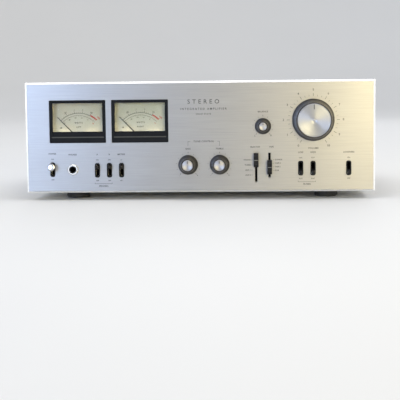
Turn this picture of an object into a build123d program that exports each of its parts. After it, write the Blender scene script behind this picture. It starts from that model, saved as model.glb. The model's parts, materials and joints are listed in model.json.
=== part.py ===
from build123d import *
import os
from math import cos, radians, sin

# Integrated stereo amplifier of the late-1970s lever-switch type, in millimetres.
# +X is to the right of someone facing the front panel, the front panel faces -Y, and +Z is up.
# The origin is on the surface that the feet stand on, at the centre of the overall box.

# ---------------------------------------------------------------- driving dimensions
PANEL_W = 410.0  # front panel
PANEL_H = 130.0
PANEL_T = 4.0
PANEL_BOTTOM = 9.0
PANEL_CHAMFER = 2.0
DEPTH_HALF = 169.0  # half of the overall depth, knob face to terminal screws
KNOB_REACH = 24.0  # the volume knob's face, in front of the panel
TERMINAL_REACH = 14.0  # rear terminals, behind the rear panel
SHEET = 1.2  # steel sheet of the chassis
COVER_T = 1.0  # steel sheet of the top cover
FIT = 0.2  # gap between sheet-metal parts that slide over each other
SUBPANEL_GAP = 8.0  # front panel to front subpanel
SUBPANEL_HALF_W = 197.4
PAN_HALF_W = 198.8
PAN_FLANGE_H = 28.0
COVER_HALF_W = 200.0
FOOT_H = 12.0
FOOT_R = 14.0
FOOT_RECESS = 6.0
FOOT_X = 150.0
FOOT_YS = (-105.0, 115.0)

SIDE_SCREWS = [(-95.0, 28.0), (120.0, 28.0)]  # y, z
REAR_SCREW_XS = (-150.0, 0.0, 150.0)
REAR_LOW_Z = 20.0
REAR_HIGH_Z = 128.0
REAR_LAP = 14.0  # the cover's lip that laps over the rear panel
VENT_ROWS = (22.0, 68.0, 114.0)
VENT_COUNT = 35
VENT_PITCH = 10.0

# ---------------------------------------------------------------- planes worked out from them
PANEL_FRONT = KNOB_REACH - DEPTH_HALF
PANEL_BACK = PANEL_FRONT + PANEL_T
REAR_FACE = DEPTH_HALF - TERMINAL_REACH
SUB_FRONT = PANEL_BACK + SUBPANEL_GAP
SUB_BACK = SUB_FRONT + SHEET
PAN_BOTTOM = FOOT_H
PAN_TOP = FOOT_H + SHEET
COVER_TOP = PANEL_BOTTOM + PANEL_H - 3.8
COVER_INNER_TOP = COVER_TOP - COVER_T
SUBPANEL_TOP = COVER_INNER_TOP - FIT

# ---------------------------------------------------------------- front controls
# Heights are above the panel's lower edge, and x is from the panel's centre.
METER_XS = {"left": -143.5, "right": -69.8}
METER_Z = 84.0
METER_W = 67.0
METER_H = 50.4
METER_CORNER = 1.0
SCALE_W = 59.0  # what shows of the dial
SCALE_H = 33.4
SCALE_ABOVE = 13.4  # from the meter's lower edge up to the dial
PIVOT_ABOVE = 5.4  # from the meter's lower edge up to the needle's pivot
NEEDLE_R = 35.5
NEEDLE_TAIL = 3.0
NEEDLE_REST = 45.0  # degrees left of upright, with no signal

# name: (x, height, base radius, face radius, reach in front of the panel)
KNOBS = {
    "volume": (133.3, 83.8, 24.5, 20.2, KNOB_REACH),
    "balance": (74.6, 76.9, 9.4, 5.6, 15.0),
    "bass": (-13.4, 32.3, 11.5, 7.4, 17.0),
    "treble": (23.7, 32.3, 11.5, 7.4, 17.0),
}
KNOB_GAP = 0.8  # knob to panel
CAP_T = 3.0  # metal facing of a knob
CAP_SEAT = 1.0  # how far the knob's front edge stands behind its facing
CAP_RIM = 1.0  # dark body left round the facing
SHAFT_R = 3.0
RUNNING = 0.05  # radial clearance of a turning shaft or pin
BUSHING_R = 4.5
SHAFT_HOLE_R = 5.5  # in the front panel, hidden by the knob
POT_SIZES = {"volume": (15.0, 22.0), "balance": (12.0, 12.0), "bass": (12.0, 12.0), "treble": (12.0, 12.0)}

# name: (x, height, degrees that the lever stands above level at rest)
LEVERS = {
    "power": (-174.1, 27.6, 6.0),
    "speaker_a": (-120.9, 26.5, 8.0),
    "speaker_b": (-106.6, 26.5, 8.0),
    "meter_range": (-92.3, 26.5, 8.0),
    "low_filter": (118.5, 27.3, -8.0),
    "high_filter": (132.9, 27.3, -8.0),
    "loudness": (174.4, 27.3, -8.0),
}
SLOT_W = 6.2
SLOT_H = 17.3
SLOT_CORNER = 2.4
SLOT_INNER_W = 4.0
SLOT_INNER_H = 14.2
LEVER_W = 3.4
LEVER_H = 3.8
LEVER_REACH = 12.0
PIVOT_BEHIND = 23.0  # lever pivot, behind the front panel's face
PIVOT_PIN_R = 1.2
POWER_TIP_R = 4.4

# name: (x, slot's lower end, slot's upper end, handle centre at rest)
SELECTORS = {
    "input": (66.4, 11.3, 45.7, 37.4),
    "tape": (82.1, 16.6, 45.7, 29.1),
}
CHANNEL_W = 2.8
HANDLE_W = 5.6
HANDLE_H = 16.4
HANDLE_REACH = 9.5
HANDLE_BEVEL = 3.0  # sloped top and bottom of a slide handle
STEM_W = 1.8
STEM_H = 11.0
CARRIAGE_W = 6.0
CARRIAGE_H = 12.0
CARRIAGE_T = 4.0

JACK_X = -150.0
JACK_Z = 27.4
JACK_BORE_R = 3.25
JACK_SLEEVE_R = 4.4
JACK_NUT_R = 6.4
JACK_DEPTH = 31.0

STUDS = [(sx * 192.0, z) for sx in (-1, 1) for z in (14.0, 116.0)]
STUD_R = 1.5
STUD_NUT_T = 2.4

# ---------------------------------------------------------------- rear connectors, heights above the floor
RCA_COLUMNS = [72.0 + 21.0 * i for i in range(6)]
RCA_ROWS = (84.0, 58.0)
RCA_SHELL_R = 4.15
RCA_NECK_R = 4.0
RCA_FLANGE_R = 5.8
RCA_FLANGE_T = 1.5
RCA_CORE_R = 3.5
RCA_PIN_R = 1.6
RCA_REACH = 9.0
RCA_PLATE = (56.0, 193.0, 44.0, 98.0)  # x0, x1, z0, z1
TERMINAL_BLOCK = (-70.0, 34.0, 50.0, 92.0)
TERMINALS = [(-57.0 + 26.0 * i, z) for i in range(4) for z in (60.0, 82.0)]
GROUND_AT = (45.0, 71.0)
GROUND_HEAD_R = 6.0
TERMINAL_BOLT_R = 1.75
INLET_X = -165.0
INLET_Z = 60.0
INLET_W = 30.0
INLET_H = 22.0
INLET_CAVITY = (24.0, 15.0, 15.0)  # width, height, depth

# ---------------------------------------------------------------- inside, heights above the floor
CORE_AT = (-140.0, 92.0)
CORE_SIZE = (90.0, 42.0, 75.0)
CORE_LEG = 15.0
BRACKET_T = 2.0
HEATSINK = (-24.0, 152.0, 62.0, 108.0, 98.0)  # x0, x1, y0, y1, top
FIN_COUNT = 18
MAIN_BOARD = (-86.0, 160.0, -92.0, 48.0)
PREAMP_BOARD = (60.0, 189.0, 113.0, 148.0)
BOARD_T = 1.6
BOARD_Z = 22.0
PREAMP_Z = 32.0
BOARDS = ((MAIN_BOARD, BOARD_Z), (PREAMP_BOARD, PREAMP_Z))
FILTER_CAPS = [(-60.0, -4.0), (-60.0, 34.0)]
FILTER_CAP_R = 17.0
FILTER_CAP_H = 68.0

parts = {}


# ---------------------------------------------------------------- helpers
def block(x0, x1, y0, y1, z0, z1):
    """A box between two corners."""
    return Pos((x0 + x1) / 2, (y0 + y1) / 2, (z0 + z1) / 2) * Box(x1 - x0, y1 - y0, z1 - z0)


def y_rod(x, z, r, y0, y1):
    """A round bar along Y."""
    return Pos(x, (y0 + y1) / 2, z) * Rot(90, 0, 0) * Cylinder(r, y1 - y0)


def y_cone(x, z, r_back, r_front, y_front, y_back):
    """A round bar along Y that tapers towards the front."""
    return Pos(x, (y_front + y_back) / 2, z) * Rot(90, 0, 0) * Cone(r_back, r_front, y_back - y_front)


def x_rod(y, z, r, x0, x1):
    """A round bar along X."""
    return Pos((x0 + x1) / 2, y, z) * Rot(0, 90, 0) * Cylinder(r, x1 - x0)


def z_rod(x, y, r, z0, z1):
    """A round bar along Z."""
    return Pos(x, y, (z0 + z1) / 2) * Cylinder(r, z1 - z0)


def facing(outline, x, z, y0, y1):
    """An outline drawn as it looks from the front, pushed from y0 back to y1."""
    plane = Plane(origin=(x, y1, z), x_dir=(1, 0, 0), z_dir=(0, -1, 0))
    return extrude(plane * outline, amount=y1 - y0)


def level(outline, x, y, z0, z1):
    """An outline drawn as it looks from above, raised from z0 to z1."""
    return Pos(x, y, z0) * extrude(outline, amount=z1 - z0)


def up(height):
    """Height above the floor of a height above the panel's lower edge."""
    return PANEL_BOTTOM + height


def group(pieces):
    """Separate pieces kept as one node."""
    return Compound(children=[solid for piece in pieces for solid in piece.solids()])


# ---------------------------------------------------------------- case
def make_front_panel():
    panel = block(-PANEL_W / 2, PANEL_W / 2, PANEL_FRONT, PANEL_BACK, up(0), up(PANEL_H))
    panel = chamfer(panel.faces().sort_by(Axis.Y)[0].edges(), PANEL_CHAMFER)
    cuts = [
        facing(RectangleRounded(METER_W, METER_H, METER_CORNER), x, up(METER_Z), PANEL_FRONT, PANEL_BACK)
        for x in METER_XS.values()
    ]
    cuts += [
        facing(RectangleRounded(SLOT_W, SLOT_H, SLOT_CORNER), x, up(z), PANEL_FRONT, PANEL_BACK)
        for x, z, _ in LEVERS.values()
    ]
    cuts += [
        block(x - CHANNEL_W / 2, x + CHANNEL_W / 2, PANEL_FRONT, PANEL_BACK, up(low), up(high))
        for x, low, high, _ in SELECTORS.values()
    ]
    cuts += [y_rod(x, up(z), SHAFT_HOLE_R, PANEL_FRONT, PANEL_BACK) for x, z, *_ in KNOBS.values()]
    cuts.append(y_rod(JACK_X, up(JACK_Z), JACK_SLEEVE_R + FIT, PANEL_FRONT, PANEL_BACK))
    panel -= cuts
    studs = [y_rod(x, up(z), 3.0, PANEL_BACK, SUB_FRONT) for x, z in STUDS]
    studs += [y_rod(x, up(z), STUD_R, SUB_FRONT, SUB_BACK + 4) for x, z in STUDS]
    return panel + studs


def make_front_subpanel():
    half, low, top = SUBPANEL_HALF_W, PAN_TOP, SUBPANEL_TOP
    panel = block(-half, half, SUB_FRONT, SUB_BACK, low, top)
    panel += block(-half, half, SUB_BACK, SUB_BACK + 10, top - SHEET, top)
    panel += block(-half, half, SUB_BACK, SUB_BACK + 10, low, low + SHEET)
    cuts = [
        facing(Rectangle(METER_W + 1, METER_H + 1), x, up(METER_Z), SUB_FRONT, SUB_BACK)
        for x in METER_XS.values()
    ]
    cuts += [
        facing(Rectangle(SLOT_INNER_W + 1, SLOT_INNER_H), x, up(z), SUB_FRONT, SUB_BACK)
        for x, z, _ in LEVERS.values()
    ]
    cuts += [
        block(x - CHANNEL_W / 2, x + CHANNEL_W / 2, SUB_FRONT, SUB_BACK, up(low_end), up(high_end))
        for x, low_end, high_end, _ in SELECTORS.values()
    ]
    cuts += [y_rod(x, up(z), BUSHING_R + FIT, SUB_FRONT, SUB_BACK) for x, z, *_ in KNOBS.values()]
    cuts.append(y_rod(JACK_X, up(JACK_Z), JACK_SLEEVE_R + FIT, SUB_FRONT, SUB_BACK))
    cuts += [y_rod(x, up(z), STUD_R + FIT, SUB_FRONT, SUB_BACK) for x, z in STUDS]
    return panel - cuts


def make_chassis_pan():
    half, front, back = PAN_HALF_W, PANEL_BACK + 1, REAR_FACE - SHEET
    pan = block(-half, half, front, back, PAN_BOTTOM, PAN_TOP)
    for side in (-1, 1):
        inner, outer = sorted((side * half, side * (half - SHEET)))
        pan += block(inner, outer, front, back, PAN_TOP, PAN_TOP + PAN_FLANGE_H)
    pan += block(-half + SHEET, half - SHEET, back - SHEET, back, PAN_TOP, PAN_TOP + 12)
    vent = SlotOverall(36, 3.6)
    cuts = [
        level(Rot(0, 0, 90) * vent, x, y, PAN_BOTTOM, PAN_TOP)
        for x in [-172 + 10 * i for i in range(8)] + [-20 + 10 * i for i in range(17)]
        for y in (60, 110)
    ]
    cuts += [z_rod(x, y, 2.2, PAN_BOTTOM, PAN_TOP) for x, y in foot_places()]
    cuts += [x_rod(y, z, 2.0, -half, half) for y, z in SIDE_SCREWS]
    cuts += [y_rod(x, REAR_LOW_Z, 1.6, back - SHEET, back) for x in REAR_SCREW_XS]
    return pan - cuts


def make_rear_panel():
    low, high = PAN_TOP, SUBPANEL_TOP
    panel = block(-SUBPANEL_HALF_W, SUBPANEL_HALF_W, REAR_FACE - SHEET, REAR_FACE, low, high)
    cuts = [
        y_rod(x, z, RCA_NECK_R + 1.0, REAR_FACE - SHEET, REAR_FACE)
        for x, z in rca_places()
    ]
    x0, x1, z0, z1 = TERMINAL_BLOCK
    cuts.append(block(x0 + 3, x1 - 3, REAR_FACE - SHEET, REAR_FACE, z0 + 3, z1 - 3))
    cuts.append(y_rod(*GROUND_AT, TERMINAL_BOLT_R + FIT, REAR_FACE - SHEET, REAR_FACE))
    cuts.append(
        facing(Rectangle(INLET_W - 4, INLET_H - 2), INLET_X, INLET_Z, REAR_FACE - SHEET, REAR_FACE)
    )
    cuts += [
        y_rod(x, z, 1.6, REAR_FACE - SHEET, REAR_FACE)
        for x in REAR_SCREW_XS
        for z in (REAR_LOW_Z, REAR_HIGH_Z)
    ]
    return panel - cuts


def make_top_cover():
    front, back = PANEL_BACK + FIT, REAR_FACE + COVER_T
    half = COVER_HALF_W
    shell = block(-half, half, front, back, PAN_TOP, COVER_TOP)
    shell = fillet(shell.edges().filter_by(Axis.Y).group_by(Axis.Z)[-1], 3.0)
    inside = block(-half + COVER_T, half - COVER_T, front, REAR_FACE, PAN_TOP, COVER_INNER_TOP)
    inside = fillet(inside.edges().filter_by(Axis.Y).group_by(Axis.Z)[-1], 2.0)
    shell -= inside
    shell -= block(-half, half, REAR_FACE, back, PAN_TOP, COVER_TOP - REAR_LAP)
    slot = Rot(0, 0, 90) * SlotOverall(38, 3.4)
    first = -VENT_PITCH * (VENT_COUNT - 1) / 2
    cuts = [
        level(slot, first + VENT_PITCH * i, y, COVER_INNER_TOP, COVER_TOP)
        for i in range(VENT_COUNT)
        for y in VENT_ROWS
    ]
    cuts += [x_rod(y, z, 2.2, -half, half) for y, z in SIDE_SCREWS]
    cuts += [y_rod(x, REAR_HIGH_Z, 2.0, REAR_FACE, back) for x in REAR_SCREW_XS]
    return shell - cuts


def make_case_screws():
    """The screws of the cover, the rear panel and the feet."""
    screws = [
        z_rod(x, y, 2.0, FOOT_RECESS, PAN_TOP + 4) + z_rod(x, y, 4.2, FOOT_RECESS - 2.6, FOOT_RECESS)
        for x, y in foot_places()
    ]
    for y, z in SIDE_SCREWS:
        for side in (-1, 1):
            shank = sorted((side * COVER_HALF_W, side * (PAN_HALF_W - 7)))
            head = sorted((side * COVER_HALF_W, side * (COVER_HALF_W + 2.2)))
            screw = x_rod(y, z, 1.8, *shank) + x_rod(y, z, 3.8, *head)
            edge = screw.faces().sort_by(Axis.X)[0 if side < 0 else -1].edges()
            screws.append(fillet(edge, 1.2))
    for z, seat in ((REAR_LOW_Z, REAR_FACE), (REAR_HIGH_Z, REAR_FACE + COVER_T)):
        for x in REAR_SCREW_XS:
            screw = y_rod(x, z, 1.4, REAR_FACE - 8, seat) + y_rod(x, z, 3.2, seat, seat + 2)
            screws.append(fillet(screw.faces().sort_by(Axis.Y)[-1].edges(), 1.0))
    return group(screws)


def foot_places():
    return [(sx * FOOT_X, y) for sx in (-1, 1) for y in FOOT_YS]


def make_feet():
    feet = []
    for x, y in foot_places():
        foot = z_rod(x, y, FOOT_R, 0, FOOT_H)
        foot = chamfer(foot.faces().sort_by(Axis.Z)[0].edges(), 1.5)
        foot -= z_rod(x, y, 2.2, 0, FOOT_H) + z_rod(x, y, 5.0, 0, FOOT_RECESS)
        feet.append(foot)
    return group(feet)


# ---------------------------------------------------------------- meters
METER_LOW = METER_Z - METER_H / 2
CASE_BACK = PANEL_FRONT + 36.0
CASE_FRONT = PANEL_BACK + 1.0
LENS_FRONT = PANEL_FRONT + 2.0
LENS_T = 1.5
DIAL_FRONT = PANEL_FRONT + 9.0
DIAL_T = 0.6
NEEDLE_FRONT = PANEL_FRONT + 6.2
NEEDLE_T = 0.5
HUB_R = 2.6
STAFF_R = 0.9
LAMP_R = 1.5


def make_meter_bezel(x):
    """The black frame round one dial, with the deep lower bar that hides the pivot."""
    z = up(METER_Z)
    outline = RectangleRounded(METER_W - FIT, METER_H - FIT, METER_CORNER)
    frame = facing(outline, x, z, PANEL_FRONT + 0.4, PANEL_BACK)
    frame += facing(Rectangle(METER_W + 3, METER_H + 1.5), x, z, PANEL_BACK, CASE_FRONT)
    window_z = up(METER_LOW + SCALE_ABOVE + SCALE_H / 2)
    frame -= facing(Rectangle(SCALE_W, SCALE_H), x, window_z, PANEL_FRONT, CASE_FRONT)
    half = SCALE_W / 2 + 1.5
    lens_low, lens_high = window_z - SCALE_H / 2 - 1.5, window_z + SCALE_H / 2 + 1.5
    frame -= block(x - half, x + half, LENS_FRONT, CASE_FRONT, lens_low, lens_high)
    ledge = up(METER_LOW) + 6.4
    bar = block(x - half, x + half, PANEL_FRONT, PANEL_FRONT + 1.2, ledge, window_z - SCALE_H / 2)
    return frame - bar


def make_meter_lens(x):
    """The clear window, held behind the frame."""
    window_z = up(METER_LOW + SCALE_ABOVE + SCALE_H / 2)
    size = Rectangle(SCALE_W + 2.6, SCALE_H + 2.6)
    return facing(size, x, window_z, LENS_FRONT, LENS_FRONT + LENS_T)


def make_meter_case(x):
    """The moulded box behind one dial."""
    z = up(METER_Z)
    case = facing(Rectangle(METER_W - 0.4, METER_H - 0.4), x, z, CASE_FRONT, CASE_BACK)
    case -= facing(Rectangle(METER_W - 3.4, METER_H - 3.4), x, z, CASE_FRONT, CASE_BACK - 1.5)
    return case


def make_meter_scale(x):
    """The dial plate, notched round the needle's staff."""
    z = up(METER_Z)
    plate = facing(Rectangle(METER_W - 3.8, METER_H - 3.8), x, z, DIAL_FRONT, DIAL_FRONT + DIAL_T)
    return plate - y_rod(x, up(METER_LOW + PIVOT_ABOVE), HUB_R + 1.4, DIAL_FRONT, DIAL_FRONT + DIAL_T)


def make_meter_movement(x):
    """The magnet and coil frame, with the bearing for the needle's staff."""
    z = up(METER_LOW + PIVOT_ABOVE)
    front, back = DIAL_FRONT + DIAL_T + 1, CASE_BACK - 1.5
    low = up(METER_LOW) + 1.9
    body = y_rod(x, z + 9, 12.0, front, back)
    body += block(x - 8, x + 8, front, back, low, z + 9)
    return body - y_rod(x, z, STAFF_R + RUNNING, front, back - 8)


def make_needle(x):
    """A pointer on its staff, standing at the left end of its swing."""
    z = up(METER_LOW + PIVOT_ABOVE)
    back = NEEDLE_FRONT + NEEDLE_T
    half = [(0.7, -NEEDLE_TAIL), (0.7, 6), (0.25, NEEDLE_R)]
    outline = Polygon(*half, *[(-across, along) for across, along in reversed(half)], align=None)
    needle = facing(outline, 0, 0, NEEDLE_FRONT, back)
    needle += y_rod(0, 0, HUB_R, NEEDLE_FRONT, back + 1)
    needle += y_rod(0, 0, STAFF_R, back, DIAL_FRONT + DIAL_T + 8)
    return Pos(x, 0, z) * Rot(0, -NEEDLE_REST, 0) * needle


def make_meter_lamps():
    """Two small festoon lamps below each dial, between its plate and the lower bar of the frame."""
    z = up(METER_LOW) + 4.6
    y = (CASE_FRONT + DIAL_FRONT) / 2
    return group(
        x_rod(y, z, LAMP_R, x + dx - 5, x + dx + 5) for x in METER_XS.values() for dx in (-16, 16)
    )


# ---------------------------------------------------------------- knobs, shafts and potentiometers
def make_knob(name):
    """The plastic body and the metal facing of one knob."""
    x, height, base_r, face_r, reach = KNOBS[name]
    z = up(height)
    back, front = PANEL_FRONT - KNOB_GAP, PANEL_FRONT - reach
    rim = front + CAP_SEAT
    seat = front + CAP_T
    body = y_cone(x, z, base_r, face_r, rim, back)
    body -= y_rod(x, z, face_r - CAP_RIM, rim, seat)
    body -= y_rod(x, z, base_r * 0.8, back - 4, back)
    body += y_rod(x, z, SHAFT_R + 1.8, back - 4, back)
    body -= y_rod(x, z, SHAFT_R, seat + 2, back)
    cap = y_rod(x, z, face_r - CAP_RIM, front, seat)
    cap = chamfer(cap.faces().sort_by(Axis.Y)[0].edges(), 0.6)
    return body, cap


def make_shaft(name):
    x, height, _, _, reach = KNOBS[name]
    _, depth = POT_SIZES[name]
    front = PANEL_FRONT - reach + CAP_T + 2
    return y_rod(x, up(height), SHAFT_R, front, SUB_BACK + depth - 2)


def make_potentiometer(name):
    """Body behind the subpanel, threaded bushing through it, and three solder tags."""
    x, height, *_ = KNOBS[name]
    z = up(height)
    r, depth = POT_SIZES[name]
    pot = y_rod(x, z, r, SUB_BACK, SUB_BACK + depth)
    pot += y_rod(x, z, BUSHING_R, SUB_FRONT - 5, SUB_BACK)
    for tag in (x - 5, x, x + 5):
        pot += block(tag - 0.8, tag + 0.8, SUB_BACK + 3, SUB_BACK + 4, z - r - 5, z - r + 4)
    return pot - y_rod(x, z, SHAFT_R + RUNNING, SUB_FRONT - 5, SUB_BACK + depth - 1)


def make_panel_nuts():
    """Hexagon nuts on the bushings and panel studs, and the round nut of the headphone jack."""
    nuts = []
    for x, height in STUDS:
        nut = facing(RegularPolygon(3.2, 6), x, up(height), SUB_BACK, SUB_BACK + STUD_NUT_T)
        nuts.append(nut - y_rod(x, up(height), STUD_R, SUB_BACK, SUB_BACK + STUD_NUT_T))
    for x, height, *_ in KNOBS.values():
        nut = facing(RegularPolygon(7.0, 6), x, up(height), SUB_FRONT - 2.5, SUB_FRONT)
        nuts.append(nut - y_rod(x, up(height), BUSHING_R, SUB_FRONT - 2.5, SUB_FRONT))
    z = up(JACK_Z)
    ring = y_rod(JACK_X, z, JACK_NUT_R, PANEL_FRONT - 2, PANEL_FRONT)
    ring = chamfer(ring.faces().sort_by(Axis.Y)[0].edges(), 0.7)
    nuts.append(ring - y_rod(JACK_X, z, JACK_SLEEVE_R, PANEL_FRONT - 2, PANEL_FRONT))
    return group(nuts)


# ---------------------------------------------------------------- levers and selectors
PIVOT_Y = PANEL_FRONT + PIVOT_BEHIND


def make_lever(name):
    """One switch lever on its pivot, turned to the side where it rests."""
    x, height, tilt = LEVERS[name]
    front = PANEL_FRONT - LEVER_REACH - PIVOT_Y
    hub = x_rod(0, 0, 3.2, -LEVER_W / 2, LEVER_W / 2)
    stem = block(-LEVER_W / 2 + 0.4, LEVER_W / 2 - 0.4, front + 8, 0, -1.5, 1.5)
    if name == "power":
        grip = y_cone(0, 0, 2.2, POWER_TIP_R, front, front + 10)
        grip = fillet(grip.faces().sort_by(Axis.Y)[0].edges(), 1.4)
    else:
        grip = block(-LEVER_W / 2, LEVER_W / 2, front, front + 12, -LEVER_H / 2, LEVER_H / 2)
        grip = fillet(grip.faces().sort_by(Axis.Y)[0].edges(), 1.0)
    lever = hub + stem + grip
    lever -= x_rod(0, 0, PIVOT_PIN_R + RUNNING, -LEVER_W, LEVER_W)
    return Pos(x, PIVOT_Y, up(height)) * Rot(-tilt, 0, 0) * lever


def make_lever_bezel(x, z):
    """The black insert that lines one lever slot."""
    insert = RectangleRounded(SLOT_W - 0.1, SLOT_H - 0.1, SLOT_CORNER)
    bezel = facing(insert, x, z, PANEL_FRONT - 0.4, PANEL_BACK)
    bezel += facing(Rectangle(SLOT_W + 4, SLOT_H + 3), x, z, PANEL_BACK, PANEL_BACK + 1.2)
    hole = RectangleRounded(SLOT_INNER_W, SLOT_INNER_H, SLOT_CORNER - 1)
    return bezel - facing(hole, x, z, PANEL_FRONT - 1, PANEL_BACK + 2)


def make_lever_switch(x, z):
    """The switch body behind the subpanel, with the pin that its lever turns on."""
    width, height, back = 12.0, 19.0, SUB_BACK + 24
    body = block(x - width / 2, x + width / 2, SUB_BACK, back, z - height / 2, z + height / 2)
    well = SLOT_INNER_W / 2
    body -= block(x - well, x + well, SUB_BACK, back - 8, z - 7, z + 7)
    body += x_rod(PIVOT_Y, z, PIVOT_PIN_R, x - well, x + well)
    for tag in (-5, 0, 5):
        body += block(x - 0.5, x + 0.5, back, back + 5, z + tag - 1, z + tag + 1)
    return body


def make_selector_handle(name):
    """One slide handle, its stem through the panels, and the carriage in the switch."""
    x, _, _, height = SELECTORS[name]
    z = up(height)
    grip = block(
        x - HANDLE_W / 2, x + HANDLE_W / 2,
        PANEL_FRONT - HANDLE_REACH, PANEL_FRONT - 0.6,
        z - HANDLE_H / 2, z + HANDLE_H / 2,
    )
    front_edges = grip.faces().sort_by(Axis.Y)[0].edges()
    grip = chamfer(front_edges.filter_by(Axis.X), HANDLE_BEVEL)
    stem = block(
        x - STEM_W / 2, x + STEM_W / 2,
        PANEL_FRONT - 0.6, SUB_BACK + 0.5,
        z - STEM_H / 2, z + STEM_H / 2,
    )
    carriage = block(
        x - CARRIAGE_W / 2, x + CARRIAGE_W / 2,
        SUB_BACK + 0.4, SUB_BACK + 0.4 + CARRIAGE_T,
        z - CARRIAGE_H / 2, z + CARRIAGE_H / 2,
    )
    return grip + stem + carriage


def make_selector_body(name):
    """The slide switch behind the subpanel, with the channel that its carriage runs in."""
    x, low, high, _ = SELECTORS[name]
    middle = up((low + high) / 2)
    half = (high - low) / 2
    body = block(x - 6.4, x + 6.4, SUB_BACK, SUB_BACK + 14, middle - half - 4, middle + half + 4)
    run = half - HANDLE_H / 2 + CARRIAGE_H / 2 + 1
    body -= block(x - 3.2, x + 3.2, SUB_BACK, SUB_BACK + 5, middle - run, middle + run)
    return body


def make_headphone_jack():
    z = up(JACK_Z)
    front = PANEL_FRONT - 1.6
    back = front + JACK_DEPTH
    jack = y_rod(JACK_X, z, JACK_SLEEVE_R, front, SUB_BACK)
    jack += block(JACK_X - 7, JACK_X + 7, SUB_BACK, back + 2, z - 8, z + 8)
    return jack - y_rod(JACK_X, z, JACK_BORE_R, front, back)


# ---------------------------------------------------------------- rear connectors
def rca_places():
    return [(x, z) for x in RCA_COLUMNS for z in RCA_ROWS]


def make_rca_plate():
    """The insulating plate behind the rear panel that carries the phono sockets."""
    x0, x1, z0, z1 = RCA_PLATE
    plate = block(x0, x1, REAR_FACE - SHEET - 2, REAR_FACE - SHEET, z0, z1)
    return plate - [y_rod(x, z, RCA_NECK_R, REAR_FACE - SHEET - 2, REAR_FACE) for x, z in rca_places()]


def make_rca_shells():
    """The metal shell of each socket: a neck through the panel, a flange and the barrel outside it."""
    shells = []
    back, flange, tip = REAR_FACE - SHEET - 5, REAR_FACE + RCA_FLANGE_T, REAR_FACE + RCA_REACH
    for x, z in rca_places():
        shell = y_rod(x, z, RCA_NECK_R, back, REAR_FACE) + y_rod(x, z, RCA_FLANGE_R, REAR_FACE, flange)
        shell += y_rod(x, z, RCA_SHELL_R, flange, tip)
        shells.append(shell - y_rod(x, z, RCA_CORE_R, back, tip))
    return group(shells)


def make_rca_cores():
    """The coloured insulators inside the sockets."""
    cores = []
    for x, z in rca_places():
        core = y_rod(x, z, RCA_CORE_R, REAR_FACE - SHEET - 5, REAR_FACE + RCA_REACH - 0.5)
        cores.append(core - y_rod(x, z, RCA_PIN_R, REAR_FACE - 3, REAR_FACE + RCA_REACH))
    return group(cores)


def make_terminal_block():
    """The speaker terminal block, with a raised barrier between each pair of screws."""
    x0, x1, z0, z1 = TERMINAL_BLOCK
    body = block(x0 + 3.2, x1 - 3.2, REAR_FACE - 6, REAR_FACE, z0 + 3.2, z1 - 3.2)
    body += block(x0, x1, REAR_FACE, REAR_FACE + 4, z0, z1)
    columns = sorted({x for x, _ in TERMINALS})
    edges = [columns[0] - 13, *[x + 13 for x in columns]]
    for x in edges:
        body += block(x - 1.2, x + 1.2, REAR_FACE + 4, REAR_FACE + 11, z0, z1)
    return body - [y_rod(x, z, TERMINAL_BOLT_R, REAR_FACE - 6, REAR_FACE + 4) for x, z in TERMINALS]


def make_terminal_screws():
    """The eight slotted speaker screws."""
    screws = []
    seat = REAR_FACE + 4
    for x, z in TERMINALS:
        screw = y_rod(x, z, TERMINAL_BOLT_R, REAR_FACE - 9, seat)
        screw += y_rod(x, z, 3.2, seat, seat + 3) + y_rod(x, z, 5.0, seat + 3, seat + 6)
        screws.append(screw - block(x - 6, x + 6, seat + 5, seat + 6, z - 0.5, z + 0.5))
    return group(screws)


def make_ground_screw():
    """The thumbscrew of the ground terminal, with a fluted head."""
    x, z = GROUND_AT
    screw = y_rod(x, z, TERMINAL_BOLT_R, REAR_FACE - 9, REAR_FACE + 2)
    screw += y_rod(x, z, 3.4, REAR_FACE + 0.3, REAR_FACE + 4)
    head = y_rod(x, z, GROUND_HEAD_R, REAR_FACE + 4, DEPTH_HALF)
    head = chamfer(head.faces().sort_by(Axis.Y)[-1].edges(), 0.8)
    flutes = []
    for turn in range(0, 360, 30):
        across = (GROUND_HEAD_R + 0.5) * cos(radians(turn))
        upwards = (GROUND_HEAD_R + 0.5) * sin(radians(turn))
        flutes.append(y_rod(x + across, z + upwards, 1.0, REAR_FACE + 4, DEPTH_HALF))
    return screw + head - flutes


def make_ac_inlet():
    """The two-pin mains inlet. Its cavity opens backwards."""
    width, height, depth = INLET_CAVITY
    mouth = REAR_FACE + 3
    body = facing(Rectangle(INLET_W - 4.4, INLET_H - 2.4), INLET_X, INLET_Z, REAR_FACE - 18, REAR_FACE)
    body += facing(RectangleRounded(INLET_W + 8, INLET_H + 4, 3), INLET_X, INLET_Z, REAR_FACE, mouth)
    body -= facing(RectangleRounded(width, height, 4), INLET_X, INLET_Z, mouth - depth, mouth)
    for side in (-1, 1):
        body += y_rod(INLET_X + side * 5, INLET_Z, 1.2, mouth - depth, mouth - 5.5)
    return body


# ---------------------------------------------------------------- inside
def make_transformer_core():
    (x, y), (w, d, h) = CORE_AT, CORE_SIZE
    z0 = PAN_TOP + BRACKET_T
    core = block(x - w / 2, x + w / 2, y - d / 2, y + d / 2, z0, z0 + h)
    for side in (-1, 1):
        near, far = sorted((x + side * CORE_LEG, x + side * 2 * CORE_LEG))
        core -= block(near, far, y - d / 2, y + d / 2, z0 + CORE_LEG, z0 + h - CORE_LEG)
    return core


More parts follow.
